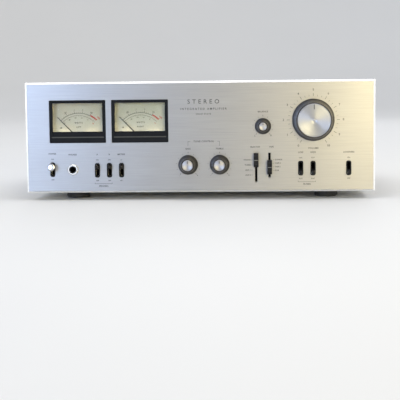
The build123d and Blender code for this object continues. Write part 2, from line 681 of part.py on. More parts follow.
def make_transformer_coil():
    (x, y), (_, d, h) = CORE_AT, CORE_SIZE
    z0 = PAN_TOP + BRACKET_T + CORE_LEG + FIT
    z1 = PAN_TOP + BRACKET_T + h - CORE_LEG - FIT
    wall = CORE_LEG - 2 * FIT
    leg_x, leg_y = CORE_LEG + FIT, d / 2 + FIT
    outer = RectangleRounded(2 * (leg_x + wall), 2 * (leg_y + wall), 5)
    return level(outer - Rectangle(2 * leg_x, 2 * leg_y), x, y, z0, z1)


def make_transformer_bracket():
    """A U of steel that clamps the core to the chassis pan."""
    (x, y), (w, d, _) = CORE_AT, CORE_SIZE
    bracket = block(x - w / 2 - 10, x + w / 2 + 10, y - d / 2, y + d / 2, PAN_TOP, PAN_TOP + BRACKET_T)
    for side in (-1, 1):
        near, far = sorted((x + side * w / 2, x + side * (w / 2 + BRACKET_T)))
        bracket += block(near, far, y - d / 2, y + d / 2, PAN_TOP + BRACKET_T, PAN_TOP + 60)
    return bracket


def make_heatsink():
    x0, x1, y0, y1, top = HEATSINK
    sink = block(x0, x1, y0, y0 + 6, PAN_TOP, top)
    pitch = (x1 - x0 - 2) / (FIN_COUNT - 1)
    for i in range(FIN_COUNT):
        sink += block(x0 + pitch * i, x0 + pitch * i + 2, y0 + 6, y1, PAN_TOP, top)
    return sink


def make_power_transistors():
    """Four metal-can transistors on the front of the heatsink."""
    face, z = HEATSINK[2], 70.0
    return group(
        facing(SlotOverall(39, 25), x, z, face - 1.6, face) + y_rod(x, z, 10.5, face - 8, face - 1.6)
        for x in (0.0, 43.0, 86.0, 129.0)
    )


def board_corners(extent):
    x0, x1, y0, y1 = extent
    return [(x, y) for x in (x0 + 5, x1 - 5) for y in (y0 + 5, y1 - 5)]


def make_board(extent, z):
    x0, x1, y0, y1 = extent
    sheet = block(x0, x1, y0, y1, z, z + BOARD_T)
    return sheet - [z_rod(x, y, 1.6, z, z + BOARD_T) for x, y in board_corners(extent)]


def make_board_standoffs():
    """Pillars with a screw head on top, at the corners of both boards."""
    pillars = []
    for extent, z in BOARDS:
        for x, y in board_corners(extent):
            pillar = z_rod(x, y, 3.0, PAN_TOP, z) + z_rod(x, y, 1.5, z, z + BOARD_T)
            pillars.append(pillar + z_rod(x, y, 2.8, z + BOARD_T, z + BOARD_T + 2))
    return group(pillars)


def can(x, y, z, r, height):
    """An electrolytic capacitor, with the groove that its sleeve shrinks into."""
    body = z_rod(x, y, r, z, z + height)
    ring = z_rod(x, y, r, z + 2, z + 3) - z_rod(x, y, r - 0.6, z + 2, z + 3)
    return fillet((body - ring).faces().sort_by(Axis.Z)[-1].edges(), 0.8)


def make_filter_capacitors():
    return group(can(x, y, BOARD_Z + BOARD_T, FILTER_CAP_R, FILTER_CAP_H) for x, y in FILTER_CAPS)


def make_board_components():
    """Small capacitors, ceramic power resistors and the output coils on the main board."""
    z = BOARD_Z + BOARD_T
    pieces = [can(-26 + 24 * i, 30, z, 6.0, 20) for i in range(7)]
    pieces += [can(-26 + 24 * i, -72, z, 4.5, 14) for i in range(7)]
    pieces += [block(-34 + 24 * i, -14 + 24 * i, 6, 13, z, z + 9) for i in range(8)]
    for i in range(4):
        coil_x = -14 + 48 * i
        pieces.append(z_rod(coil_x, -20, 9.0, z, z + 16) - z_rod(coil_x, -20, 5.0, z, z + 16))
    return group(pieces)


def make_protection_relay():
    z = BOARD_Z + BOARD_T
    relay = block(-80, -50, -80, -52, z, z + 34)
    return fillet(relay.edges().filter_by(Axis.Z), 1.5)


def make_wiring_loom():
    """Tied wire bundles: mains switch to transformer, and speaker switches to the terminal block."""
    bundle_r = 2.4
    switch_back = SUB_BACK + 29
    power_x, power_z, _ = LEVERS["power"]
    speaker_x, speaker_z, _ = LEVERS["speaker_b"]
    to_transformer = [(-180, -60, 22), (-180, 20, 22), (-172, 52, 30)]
    to_terminals = [(-98, -55, 22), (-96, 30, 24), (-80, 54, 30), (-44, 120, 64), (-18, REAR_FACE - 10, 71)]
    routes = [
        [(power_x, switch_back, up(power_z)), (power_x, -85, up(power_z)), *to_transformer],
        [(speaker_x, switch_back, up(speaker_z)), (speaker_x, -82, up(speaker_z)), *to_terminals],
    ]
    bundles = []
    for route in routes:
        path = FilletPolyline(*route, radius=10)
        section = Plane(origin=path @ 0, z_dir=path % 0) * Circle(bundle_r)
        bundles.append(sweep(section, path))
    return group(bundles)


# ---------------------------------------------------------------- build and export
parts["front_panel"] = make_front_panel()
parts["front_subpanel"] = make_front_subpanel()
parts["chassis_pan"] = make_chassis_pan()
parts["rear_panel"] = make_rear_panel()
parts["top_cover"] = make_top_cover()
parts["case_screws"] = make_case_screws()
parts["feet"] = make_feet()

xs = METER_XS.values()
parts["meter_bezels"] = group(make_meter_bezel(x) for x in xs)
parts["meter_lenses"] = group(make_meter_lens(x) for x in xs)
parts["meter_cases"] = group(make_meter_case(x) for x in xs)
parts["meter_scales"] = group(make_meter_scale(x) for x in xs)
parts["meter_movements"] = group(make_meter_movement(x) for x in xs)
parts["meter_lamps"] = make_meter_lamps()
for side, x in METER_XS.items():
    parts[f"meter_needle_{side}"] = make_needle(x)

for name in KNOBS:
    parts[f"{name}_knob_body"], parts[f"{name}_knob_cap"] = make_knob(name)
    parts[f"{name}_shaft"] = make_shaft(name)
parts["potentiometers"] = group(make_potentiometer(name) for name in KNOBS)
parts["panel_nuts"] = make_panel_nuts()

for name in LEVERS:
    parts[f"{name}_lever"] = make_lever(name)
places = [(x, up(z)) for x, z, _ in LEVERS.values()]
parts["lever_slot_bezels"] = group(make_lever_bezel(x, z) for x, z in places)
parts["lever_switches"] = group(make_lever_switch(x, z) for x, z in places)
for name in SELECTORS:
    parts[f"{name}_selector_handle"] = make_selector_handle(name)
parts["selector_switches"] = group(make_selector_body(name) for name in SELECTORS)
parts["headphone_jack"] = make_headphone_jack()

parts["rca_plate"] = make_rca_plate()
parts["rca_shells"] = make_rca_shells()
parts["rca_cores"] = make_rca_cores()
parts["speaker_terminal_block"] = make_terminal_block()
parts["terminal_screws"] = make_terminal_screws()
parts["ground_screw"] = make_ground_screw()
parts["ac_inlet"] = make_ac_inlet()

parts["transformer_core"] = make_transformer_core()
parts["transformer_coil"] = make_transformer_coil()
parts["transformer_bracket"] = make_transformer_bracket()
parts["heatsink"] = make_heatsink()
parts["power_transistors"] = make_power_transistors()
parts["circuit_boards"] = group(make_board(extent, z) for extent, z in BOARDS)
parts["board_standoffs"] = make_board_standoffs()
parts["filter_capacitors"] = make_filter_capacitors()
parts["board_components"] = make_board_components()
parts["protection_relay"] = make_protection_relay()
parts["wiring_loom"] = make_wiring_loom()

os.makedirs("parts", exist_ok=True)
for node, shape in parts.items():
    export_step(shape, f"parts/{node}.step")
print(len(parts), "nodes")
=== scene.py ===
import json
import math

import bmesh
import bpy
from mathutils import Matrix, Vector


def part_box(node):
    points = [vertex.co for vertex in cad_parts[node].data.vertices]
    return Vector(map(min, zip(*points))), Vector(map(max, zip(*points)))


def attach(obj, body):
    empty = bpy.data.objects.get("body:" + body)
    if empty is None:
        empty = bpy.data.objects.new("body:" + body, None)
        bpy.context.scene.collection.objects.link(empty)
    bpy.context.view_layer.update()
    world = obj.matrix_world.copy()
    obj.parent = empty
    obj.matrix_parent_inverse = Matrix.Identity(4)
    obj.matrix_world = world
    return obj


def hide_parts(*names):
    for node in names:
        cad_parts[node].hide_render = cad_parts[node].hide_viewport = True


MM = 0.001
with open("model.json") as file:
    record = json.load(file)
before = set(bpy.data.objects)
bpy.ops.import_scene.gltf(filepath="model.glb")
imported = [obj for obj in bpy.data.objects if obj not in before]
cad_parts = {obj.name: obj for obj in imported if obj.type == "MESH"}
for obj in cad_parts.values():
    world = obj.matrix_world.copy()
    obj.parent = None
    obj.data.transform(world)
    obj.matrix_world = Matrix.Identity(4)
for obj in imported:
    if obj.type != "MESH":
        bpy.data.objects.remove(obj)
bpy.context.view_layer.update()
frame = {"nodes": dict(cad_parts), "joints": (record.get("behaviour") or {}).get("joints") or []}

PANEL_LOW, PANEL_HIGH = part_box("front_panel")
PANEL_FRONT = PANEL_LOW.y
PANEL_BASE = PANEL_LOW.z
REAR_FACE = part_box("rear_panel")[1].y
JOINTS = {joint["child"]: joint for joint in frame["joints"]}
INK_RAISE = 0.02 * MM
INK_THICK = 0.03 * MM
INK_BOLD = 0.05 * MM
JOIN = 0.001 * MM  # a letter's face and sides meet within this


def middle(node):
    low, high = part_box(node)
    return (low + high) / 2


def pivot(body):
    return Vector(JOINTS[body]["pos_m"])


def in_mm(spot):
    """The (x, z) of a point, in millimetres."""
    return spot.x / MM, spot.z / MM


def new_object(name, data):
    made = bpy.data.objects.new(name, data)
    bpy.context.scene.collection.objects.link(made)
    return made


# ---------------- camera, lights and floor
CAMERA_AWAY = 1.37
CAMERA_RIGHT = math.radians(3.0)
CAMERA_ABOVE = math.radians(2.9)
AIM_BELOW = math.radians(3.1)
CAMERA_ROLL = math.radians(-0.65)


def place_camera():
    """Stands where a viewer's eye is: in front, a little to the right and a little above."""
    centre = Vector((0, PANEL_FRONT, (PANEL_BASE + PANEL_HIGH.z) / 2))
    back = Vector((
        math.sin(CAMERA_RIGHT) * math.cos(CAMERA_ABOVE),
        -math.cos(CAMERA_RIGHT) * math.cos(CAMERA_ABOVE),
        math.sin(CAMERA_ABOVE),
    ))
    camera = new_object("camera", bpy.data.cameras.new("camera"))
    camera.data.lens = 105
    camera.data.sensor_width = 36
    camera.location = centre + back * CAMERA_AWAY
    look = (-back).to_track_quat("-Z", "Y").to_matrix().to_4x4()
    tilt = Matrix.Rotation(-AIM_BELOW, 4, "X") @ Matrix.Rotation(CAMERA_ROLL, 4, "Z")
    camera.matrix_world = Matrix.Translation(camera.location) @ look @ tilt
    bpy.context.scene.camera = camera


FRONT_SPREAD = math.radians(50)


def soft_light(name, at, target, size, colour, power, spread=math.pi):
    light = bpy.data.lights.new(name, "AREA")
    light.spread = spread
    light.shape = "RECTANGLE"
    light.size, light.size_y = size
    light.color = colour
    light.energy = power
    lamp = new_object(name, light)
    lamp.location = at
    lamp.rotation_mode = "QUATERNION"
    lamp.rotation_quaternion = (Vector(target) - Vector(at)).to_track_quat("-Z", "Y")
    lamp.visible_camera = False


def place_lights():
    """A cool window left of the viewer, a warm room right, and soft light above, beside and behind."""
    soft_light("left_window", (-0.98, -2.3, 0.44), (-0.1, -0.1, 0.1), (0.9, 0.8),
               (0.52, 0.68, 1.0), 2.15, FRONT_SPREAD)
    soft_light("right_room", (0.72, -2.4, 0.48), (0.1, -0.1, 0.1), (0.8, 0.88),
               (1.0, 0.84, 0.44), 2.3, FRONT_SPREAD)
    soft_light("overhead", (0.1, -0.35, 1.8), (0, -0.05, 0), (1.6, 1.2), (1.0, 0.99, 0.98), 11)
    soft_light("left_side", (-2.2, 0.25, 0.55), (0, 0.1, 0.1), (1.1, 1.0), (0.90, 0.95, 1.0), 6)
    soft_light("right_side", (2.2, 0.25, 0.55), (0, 0.1, 0.1), (1.1, 1.0), (1.0, 0.97, 0.90), 6)
    soft_light("behind", (0.3, 2.3, 1.2), (0, 0.1, 0.05), (1.8, 1.0), (1.0, 1.0, 1.0), 7)
    world = bpy.data.worlds.new("studio")
    world.use_nodes = True
    world.node_tree.nodes["Background"].inputs["Color"].default_value = (0.95, 0.97, 1.0, 1)
    world.node_tree.nodes["Background"].inputs["Strength"].default_value = 0.72
    bpy.context.scene.world = world
    bpy.context.scene.view_settings.view_transform = "Standard"


# ---------------- materials
LOOKS = {}


class Look:
    """One procedural material, a Principled shader and the nodes that feed it, kept in LOOKS."""

    def __init__(self, name, colour, rough, metal=0.0, **sockets):
        LOOKS[name] = bpy.data.materials.new(name)
        LOOKS[name].use_nodes = True
        self.tree = LOOKS[name].node_tree
        self.shader = self.tree.nodes["Principled BSDF"]
        self.feed("Base Color", (*colour, 1.0))
        self.feed("Roughness", rough)
        self.feed("Metallic", metal)
        for socket, value in sockets.items():
            self.feed(socket.replace("_", " "), value)

    def feed(self, socket, value):
        self.put(self.shader.inputs[socket], value)

    def put(self, socket, value):
        if isinstance(value, bpy.types.NodeSocket):
            self.tree.links.new(value, socket)
        else:
            socket.default_value = value

    def node(self, kind, settings=None, **inputs):
        made = self.tree.nodes.new(kind)
        for key, value in (settings or {}).items():
            setattr(made, key, value)
        for key, value in inputs.items():
            self.put(made.inputs[key.replace("_", " ")], value)
        return made

    def place(self, stretch):
        spot = self.node("ShaderNodeTexCoord").outputs["Object"]
        return self.node("ShaderNodeMapping", Vector=spot, Scale=stretch).outputs[0]

    def axis(self, letter):
        spot = self.node("ShaderNodeTexCoord").outputs["Object"]
        return self.node("ShaderNodeSeparateXYZ", Vector=spot).outputs[letter]

    def noise(self, scale, detail=3.0, stretch=(1, 1, 1), rough=0.5):
        made = self.node("ShaderNodeTexNoise", Vector=self.place(stretch), Scale=scale, Detail=detail)
        made.inputs["Roughness"].default_value = rough
        return made.outputs["Fac"]

    def levels(self, value, low, high, to_low, to_high):
        made = self.node("ShaderNodeMapRange", Value=value)
        for key, number in (("From Min", low), ("From Max", high), ("To Min", to_low), ("To Max", to_high)):
            made.inputs[key].default_value = number
        return made.outputs[0]

    def share(self, value, low=0.3, high=0.7):
        """0 up to low and 1 from high on. Noise stays mostly between 0.3 and 0.7."""
        return self.levels(value, low, high, 0, 1)

    def sums(self, operation, first, second=0.0):
        made = self.node("ShaderNodeMath", {"operation": operation})
        self.put(made.inputs[0], first)
        self.put(made.inputs[1], second)
        return made.outputs[0]

    def mixed(self, factor, first, second):
        made = self.node("ShaderNodeMix", {"data_type": "RGBA"})
        self.put(made.inputs["Factor"], factor)
        for socket, value in ((made.inputs[6], first), (made.inputs[7], second)):
            self.put(socket, (*value, 1.0) if isinstance(value, tuple) else value)
        return made.outputs[2]

    def paint(self, factor, first, second):
        self.feed("Base Color", self.mixed(factor, first, second))

    def bump(self, height, distance, under=None):
        made = self.node("ShaderNodeBump", Height=height, Distance=distance)
        if under is not None:
            self.put(made.inputs["Normal"], under)
        self.feed("Normal", made.outputs[0])
        return made.outputs[0]

    def turned_about(self, axis):
        tangent = self.node("ShaderNodeTangent", {"direction_type": "RADIAL", "axis": axis})
        self.feed("Tangent", tangent.outputs[0])

    def edges(self, radius):
        """1 along convex and concave edges, 0 on flats."""
        rounded = self.node("ShaderNodeBevel", {"samples": 4}, Radius=radius).outputs[0]
        flat = self.node("ShaderNodeNewGeometry").outputs["Normal"]
        same = self.node("ShaderNodeVectorMath", {"operation": "DOT_PRODUCT"})
        self.put(same.inputs[0], rounded)
        self.put(same.inputs[1], flat)
        return self.levels(same.outputs["Value"], 0.995, 0.86, 0.0, 1.0)


def scaled(colour, by, lift=0.0):
    return tuple(min(1.0, c * by + lift) for c in colour)


def brushed_panel():
    """Anodised aluminium with a fine horizontal grain, and polished cut edges whose near-white colour is a
    painted highlight.
    """
    look = Look("brushed_panel", (0.5, 0.5, 0.5), 0.36, 0.85, Anisotropic=0.65, Anisotropic_Rotation=0.25)
    look.turned_about("Z")
    grain = look.noise(1.0, 4, (22, 22, 2600), 0.6)
    broad = look.noise(7.0, 2, (1, 1, 2.5))
    edge = 1.9 * MM
    inner = edge * 0.8
    across = look.sums("ABSOLUTE", look.axis("X"))
    sides = look.share(across, PANEL_HIGH.x - edge, PANEL_HIGH.x - inner)
    below = look.share(look.axis("Z"), PANEL_BASE + edge, PANEL_BASE + inner)
    above = look.share(look.axis("Z"), PANEL_HIGH.z - edge, PANEL_HIGH.z - inner)
    cut = look.sums("MAXIMUM", sides, look.sums("MAXIMUM", below, above))
    silver = look.mixed(look.share(grain), (0.32, 0.32, 0.325), (0.385, 0.385, 0.39))
    silver = look.mixed(look.levels(broad, 0.35, 0.7, 0, 0.2), silver, (0.31, 0.31, 0.315))
    # the cut edges are polished metal, painted near-white as a highlight along the panel's rim
    look.paint(cut, silver, (0.95, 0.95, 0.95))
    uneven = look.levels(broad, 0.3, 0.7, -0.02, 0.03)
    rough = look.sums("ADD", look.levels(grain, 0.3, 0.7, 0.31, 0.40), uneven)
    look.feed("Roughness", look.sums("MULTIPLY", rough, look.levels(cut, 0, 1, 1.0, 0.75)))
    look.bump(grain, 0.003 * MM)


def spun_metal(name, colour, rough, rings):
    """Turned aluminium: fine rings round the middle of each piece, and a bow-tie sheen."""
    look = Look(name, colour, rough, 1.0, Anisotropic=0.75, Anisotropic_Rotation=0.25)
    look.turned_about("Y")
    spot = look.node("ShaderNodeTexCoord").outputs["Generated"]
    shifted = look.node("ShaderNodeVectorMath", {"operation": "SUBTRACT"})
    look.put(shifted.inputs[0], spot)
    shifted.inputs[1].default_value = (0.5, 0.5, 0.5)
    flat = look.node("ShaderNodeVectorMath", {"operation": "MULTIPLY"})
    look.put(flat.inputs[0], shifted.outputs[0])
    flat.inputs[1].default_value = (1, 0, 1)
    radius = look.node("ShaderNodeVectorMath", {"operation": "LENGTH"})
    look.put(radius.inputs[0], flat.outputs[0])
    turned = look.node("ShaderNodeTexNoise", {"noise_dimensions": "1D"},
                       W=radius.outputs["Value"], Scale=rings, Detail=3)
    groove = turned.outputs["Fac"]
    smudge = look.levels(look.noise(160, 3), 0.4, 0.75, 0, 0.08)
    look.paint(look.share(groove), scaled(colour, 0.86), colour)
    ridged = look.levels(groove, 0.3, 0.7, rough - 0.05, rough + 0.06)
    look.feed("Roughness", look.sums("ADD", ridged, smudge))
    look.bump(groove, 0.012 * MM)


def dark_anodised(name, colour, rough, wear=0.4, edge=0.12):
    """Dark anodised or blackened metal, rubbed a little brighter along its edges."""
    look = Look(name, colour, rough, 1.0)
    worn = look.sums("MULTIPLY", look.edges(edge * MM), wear)
    streak = look.noise(1400, 2, (1, 0.05, 1))
    tone = look.mixed(look.share(streak), scaled(colour, 0.7), scaled(colour, 1.25))
    look.paint(worn, tone, (0.35, 0.35, 0.36))
    look.feed("Roughness", look.levels(streak, 0.3, 0.7, rough - 0.06, rough + 0.1))
    look.bump(streak, 0.008 * MM)


def black_paint():
    """Baked textured paint on steel, with a little dust on top and wear on the edges."""
    look = Look("black_paint", (0.014, 0.014, 0.015), 0.5, Specular_IOR_Level=0.35)
    fine = look.noise(1500, 2)
    orange_peel = look.noise(420, 3)
    patches = look.noise(11, 4)
    chips = look.levels(look.noise(120, 4), 0.42, 0.62, 0.03, 0.5)
    worn = look.sums("MULTIPLY", look.edges(0.4 * MM), chips)
    normal = look.node("ShaderNodeNewGeometry").outputs["Normal"]
    upward = look.node("ShaderNodeSeparateXYZ", Vector=normal).outputs["Z"]
    settled = look.levels(patches, 0.35, 0.75, 0.01, 0.05)
    dust = look.sums("MULTIPLY", look.share(upward, 0.6, 1.0), settled)
    paint = look.mixed(look.share(patches), (0.011, 0.011, 0.012), (0.018, 0.018, 0.020))
    paint = look.mixed(dust, paint, (0.26, 0.26, 0.26))
    look.paint(worn, paint, (0.13, 0.13, 0.135))
    uneven = look.levels(patches, 0.3, 0.7, -0.04, 0.06)
    rough = look.sums("ADD", look.levels(fine, 0.3, 0.7, 0.46, 0.60), uneven)
    look.feed("Roughness", rough)
    under = look.node("ShaderNodeBump", Height=orange_peel, Distance=0.05 * MM).outputs[0]
    look.bump(fine, 0.03 * MM, under)


def moulded(name, colour, rough, grain=900, depth=0.015, shine=0.5):
    """Moulded plastic with a fine spark-eroded grain and edges rubbed smooth."""
    look = Look(name, colour, rough, Specular_IOR_Level=shine)
    grit = look.noise(grain, 3)
    patches = look.noise(28, 3)
    tone = look.mixed(look.share(patches), colour, scaled(colour, 1.35, 0.004))
    worn = look.sums("MULTIPLY", look.edges(0.3 * MM), 0.3)
    look.paint(worn, tone, scaled(colour, 1.8, 0.02))
    uneven = look.levels(patches, 0.3, 0.7, -0.04, 0.08)
    gritty = look.levels(grit, 0.3, 0.7, rough - 0.06, rough + 0.06)
    look.feed("Roughness", look.sums("ADD", gritty, uneven))
    look.bump(grit, depth * MM)


def plated(name, colour, rough, grain=220):
    """Zinc, nickel or chrome plating: cloudy, with fine scratches."""
    look = Look(name, colour, rough, 1.0)
    cloud = look.noise(grain * 0.15, 4)
    scratch = look.noise(grain * 9, 2, (1, 1, 0.03))
    look.paint(look.share(cloud, 0.35), colour, scaled(colour, 0.8))
    dulled = look.levels(cloud, 0.3, 0.7, -0.03, 0.07)
    scratched = look.levels(scratch, 0.35, 0.7, rough - 0.04, rough + 0.08)
    look.feed("Roughness", look.sums("ADD", scratched, dulled))
    look.bump(scratch, 0.003 * MM)


def dial_face():
    """Cream enamelled dial, a little darker towards the top in blotches, where a painted reflection tints it
    orange to the left and yellow to the right.
    """
    look = Look("dial_face", (0.62, 0.60, 0.48), 0.55)
    low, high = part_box("meter_scales")
    blotches = look.noise(55, 4)
    paper = look.noise(700, 2)
    height = look.share(look.axis("Z"), low.z + 0.2 * (high.z - low.z), high.z)
    upper_darkening = look.sums("MULTIPLY", height, look.levels(blotches, 0.3, 0.7, 0.5, 0.95))
    cream = look.mixed(look.share(paper), (0.51, 0.505, 0.445), (0.55, 0.545, 0.485))
    tinted = look.mixed(upper_darkening, cream, (0.37, 0.365, 0.30))
    # painted reflection on the dials' darker upper part: orange to the left, yellow to the right
    to_right = look.share(look.axis("X"), low.x, high.x)
    warm = look.mixed(to_right, (0.50, 0.43, 0.37), (0.40, 0.43, 0.29))
    look.paint(look.sums("MULTIPLY", upper_darkening, 0.5), tinted, warm)
    look.feed("Roughness", look.levels(blotches, 0.3, 0.7, 0.45, 0.65))
    look.bump(paper, 0.008 * MM)


def clear_pane(name, tint, rough, most_gloss=0.14):
    """A thin clear pane: what is behind shows straight through, and the surface adds gloss."""
    look = Look(name, (0.02, 0.02, 0.02), rough, Specular_IOR_Level=1.0)
    look.feed("Roughness", look.levels(look.noise(90, 4), 0.4, 0.8, rough, rough + 0.12))
    gloss = look.sums("MINIMUM", look.node("ShaderNodeFresnel", IOR=1.45).outputs[0], most_gloss)
    seen = look.node("ShaderNodeBsdfTransparent", Color=(*tint, 1.0))
    both = look.node("ShaderNodeMixShader", Fac=gloss)
    look.put(both.inputs[1], seen.outputs[0])
    look.put(both.inputs[2], look.shader.outputs[0])
    look.put(look.tree.nodes["Material Output"].inputs["Surface"], both.outputs[0])


def printed(name, colour):
    look = Look(name, colour, 0.55)
    thin = look.noise(900, 3)
    faded = look.levels(thin, 0.4, 0.75, 0, 0.4)
    look.paint(faded, colour, scaled(colour, 1.6, 0.01))
    look.feed("Roughness", look.levels(thin, 0.3, 0.7, 0.45, 0.65))


def laminate():
    """Phenolic circuit board."""
    look = Look("laminate", (0.33, 0.19, 0.08), 0.5)
    fibre = look.noise(260, 4, (1, 0.2, 1))
    look.paint(look.share(fibre), (0.26, 0.14, 0.055), (0.40, 0.25, 0.12))
    look.feed("Roughness", look.levels(fibre, 0.3, 0.7, 0.4, 0.6))
    look.bump(fibre, 0.02 * MM)


def laminations():
    """The stacked, varnished steel sheets of a transformer core."""
    look = Look("laminations", (0.12, 0.11, 0.10), 0.45, 0.6)
    sheets = look.noise(1, 1, (3, 1800, 3))
    varnish = look.noise(60, 4)
    stacked = look.share(sheets, 0.35, 0.65)
    look.paint(stacked, (0.06, 0.05, 0.045), (0.22, 0.20, 0.18))
    look.feed("Roughness", look.levels(varnish, 0.3, 0.7, 0.3, 0.6))
    look.bump(sheets, 0.06 * MM)


def socket_plastic():
    """White insulators in the upper row of sockets, red in the lower row."""
    look = Look("socket_plastic", (0.8, 0.8, 0.78), 0.35)
    low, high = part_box("rca_cores")
    half = (low.z + high.z) / 2
    upper = look.share(look.axis("Z"), half - MM, half + MM)
    haze = look.noise(400, 3)
    red = look.mixed(look.share(haze), (0.42, 0.02, 0.02), (0.55, 0.035, 0.03))
    white = look.mixed(look.share(haze), (0.74, 0.73, 0.70), (0.84, 0.83, 0.80))
    look.paint(upper, red, white)
    look.feed("Roughness", look.levels(haze, 0.3, 0.7, 0.28, 0.45))
    look.bump(haze, 0.01 * MM)


def lit_bulb():
    look = Look("lit_bulb", (1.0, 0.85, 0.55), 0.2)
    glow = look.noise(900, 2)
    look.feed("Emission Color", look.mixed(glow, (1.0, 0.80, 0.52), (1.0, 0.90, 0.70)))
    look.feed("Emission Strength", 60.0)


def pale_floor():
    look = Look("pale_floor", (0.80, 0.80, 0.80), 0.6)
    haze = look.noise(3, 4)
    look.paint(haze, (0.78, 0.78, 0.785), (0.82, 0.82, 0.82))
    look.feed("Roughness", look.levels(haze, 0.3, 0.7, 0.55, 0.7))


brushed_panel()
black_paint()
spun_metal("spun_metal", (0.36, 0.36, 0.375), 0.36, 30)
# the volume facing: a darker, bluer copy of the small knobs' turned metal, its darkness painted shade and its
# blue cast set against the warm lamp's reflection
spun_metal("volume_metal_shaded", (0.305, 0.32, 0.365), 0.34, 90)
dark_anodised("knob_side", (0.055, 0.052, 0.050), 0.36, 0.25, 0.05)
moulded("control_black", (0.006, 0.006, 0.007), 0.45, shine=0.22)
moulded("meter_black", (0.004, 0.005, 0.007), 0.5, shine=0.08)
moulded("slot_black", (0.005, 0.005, 0.006), 0.6, shine=0.25)
moulded("foot_plastic", (0.016, 0.016, 0.016), 0.6, 700, 0.03)
moulded("terminal_black", (0.014, 0.014, 0.015), 0.28)
plated("chrome", (0.60, 0.61, 0.64), 0.16)
plated("nickel", (0.70, 0.68, 0.63), 0.22)
plated("zinc", (0.62, 0.61, 0.57), 0.34, 120)
dark_anodised("black_oxide", (0.035, 0.035, 0.036), 0.38)
dark_anodised("black_fins", (0.045, 0.045, 0.047), 0.45)
plated("gold_contact", (0.83, 0.62, 0.28), 0.25)
dial_face()
printed("dial_ink", (0.02, 0.02, 0.02))
printed("dial_red", (0.42, 0.03, 0.02))
printed("panel_ink", (0.035, 0.036, 0.04))
printed("white_ink", (0.66, 0.66, 0.64))
printed("grey_ink", (0.22, 0.22, 0.21))
printed("bar_line", (0.02, 0.021, 0.018))
moulded("needle", (0.02, 0.018, 0.018), 0.4, 2000, 0.004)
clear_pane("window", (0.96, 0.97, 0.96), 0.04)
lit_bulb()
moulded("cream_plastic", (0.58, 0.57, 0.51), 0.5)
socket_plastic()
laminate()
laminations()
moulded("winding_tape", (0.50, 0.36, 0.09), 0.4, 300, 0.05)
moulded("capacitor_sleeve", (0.015, 0.035, 0.09), 0.3, 500, 0.01)
moulded("relay_cover", (0.55, 0.53, 0.46), 0.2, 300, 0.005)
moulded("wire_sleeve", (0.09, 0.09, 0.10), 0.5, 1500, 0.05)
pale_floor()

CAD_LOOKS = {
    "brushed_panel": ["front_panel"],
    "black_paint": ["top_cover", "rear_panel"],
    "zinc": ["front_subpanel", "chassis_pan", "transformer_bracket", "board_standoffs", "potentiometers",
             "volume_shaft", "balance_shaft", "bass_shaft", "treble_shaft"],
    "meter_black": ["meter_bezels"],
    "slot_black": ["lever_slot_bezels", "lever_switches", "selector_switches"],
    "window": ["meter_lenses"],
    "dial_face": ["meter_scales"],
    "cream_plastic": ["meter_cases"],
    "laminations": ["transformer_core", "meter_movements"],
    "lit_bulb": ["meter_lamps"],
    "needle": ["meter_needle_left", "meter_needle_right"],
    "nickel": ["panel_nuts", "terminal_screws", "power_transistors", "ground_screw"],
    "control_black": ["headphone_jack"],
    "terminal_black": ["speaker_terminal_block", "ac_inlet"],
    "socket_plastic": ["rca_cores"],
    "laminate": ["rca_plate", "circuit_boards"],
    "winding_tape": ["transformer_coil"],
    "black_fins": ["heatsink"],
    "capacitor_sleeve": ["filter_capacitors", "board_components"],
    "relay_cover": ["protection_relay"],
    "wire_sleeve": ["wiring_loom"],
}


def dress_cad_nodes():
    for look, nodes in CAD_LOOKS.items():
        for node in nodes:
            for material_slot in frame["nodes"][node].material_slots:
                material_slot.material = LOOKS[look]


# ---------------- mesh helpers
def from_mm(points):
    return [(radius * MM, height * MM) for radius, height in points]


def round_from(at, radius, degrees):
    """The (x, z) of a point on a circle, at an angle to the right of upright."""
    turn = math.radians(degrees)
    return at[0] + radius * math.sin(turn), at[1] + radius * math.cos(turn)


def mesh_of(name, form):
    """Turns a bmesh, with its faces made to point outwards, into a mesh."""
    bmesh.ops.recalc_face_normals(form, faces=form.faces)
    mesh = bpy.data.meshes.new(name)
    form.to_mesh(mesh)
    form.free()
    return mesh


def finish_piece(name, form, look, body, soft_angle=35, replaced=()):
    """Turns a bmesh into a named piece that rides on a body."""
    mesh = mesh_of(name, form)
    mesh.shade_smooth()
    mesh.set_sharp_from_angle(angle=math.radians(soft_angle))
    mesh.materials.append(LOOKS[look])
    piece = new_object(name, mesh)
    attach(piece, body)
    if replaced:
        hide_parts(*replaced)


def along_y(at):
    """Maps a lathe's own axis, which is Z, to the line along Y through a point. Its front faces -Y."""
    return Matrix.Translation(at) @ Matrix.Rotation(math.radians(90), 4, "X")


def along_minus_y(at):
    return Matrix.Translation(at) @ Matrix.Rotation(math.radians(-90), 4, "X")


def lathe(form, profile, place, steps=96, ribs=0, depth=0.0):
    """Turns a profile of (radius, height, ribbed) points about Z.

    A profile that ends where it starts makes a ring.
    """
    closed = tuple(profile[0][:2]) == tuple(profile[-1][:2])
    rings = []
    for radius, height, *ribbed in profile[:-1] if closed else profile:
        if radius < 1e-9:
            rings.append([form.verts.new(place @ Vector((0, 0, height)))])
            continue
        ring = []
        for i in range(steps):
            turn = 2 * math.pi * i / steps
            cut = depth * (0.5 - 0.5 * math.cos(ribs * turn)) if ribbed and ribbed[0] else 0.0
            r = radius - cut
            spot = Vector((r * math.cos(turn), r * math.sin(turn), height))
            ring.append(form.verts.new(place @ spot))
        rings.append(ring)
    if closed:
        rings.append(rings[0])
    for first, second in zip(rings, rings[1:]):
        for i in range(steps):
            after = (i + 1) % steps
            corners = []
            for ring, at in ((first, i), (first, after), (second, after), (second, i)):
                corner = ring[at if len(ring) > 1 else 0]
                if corner not in corners:
                    corners.append(corner)
            form.faces.new(corners)


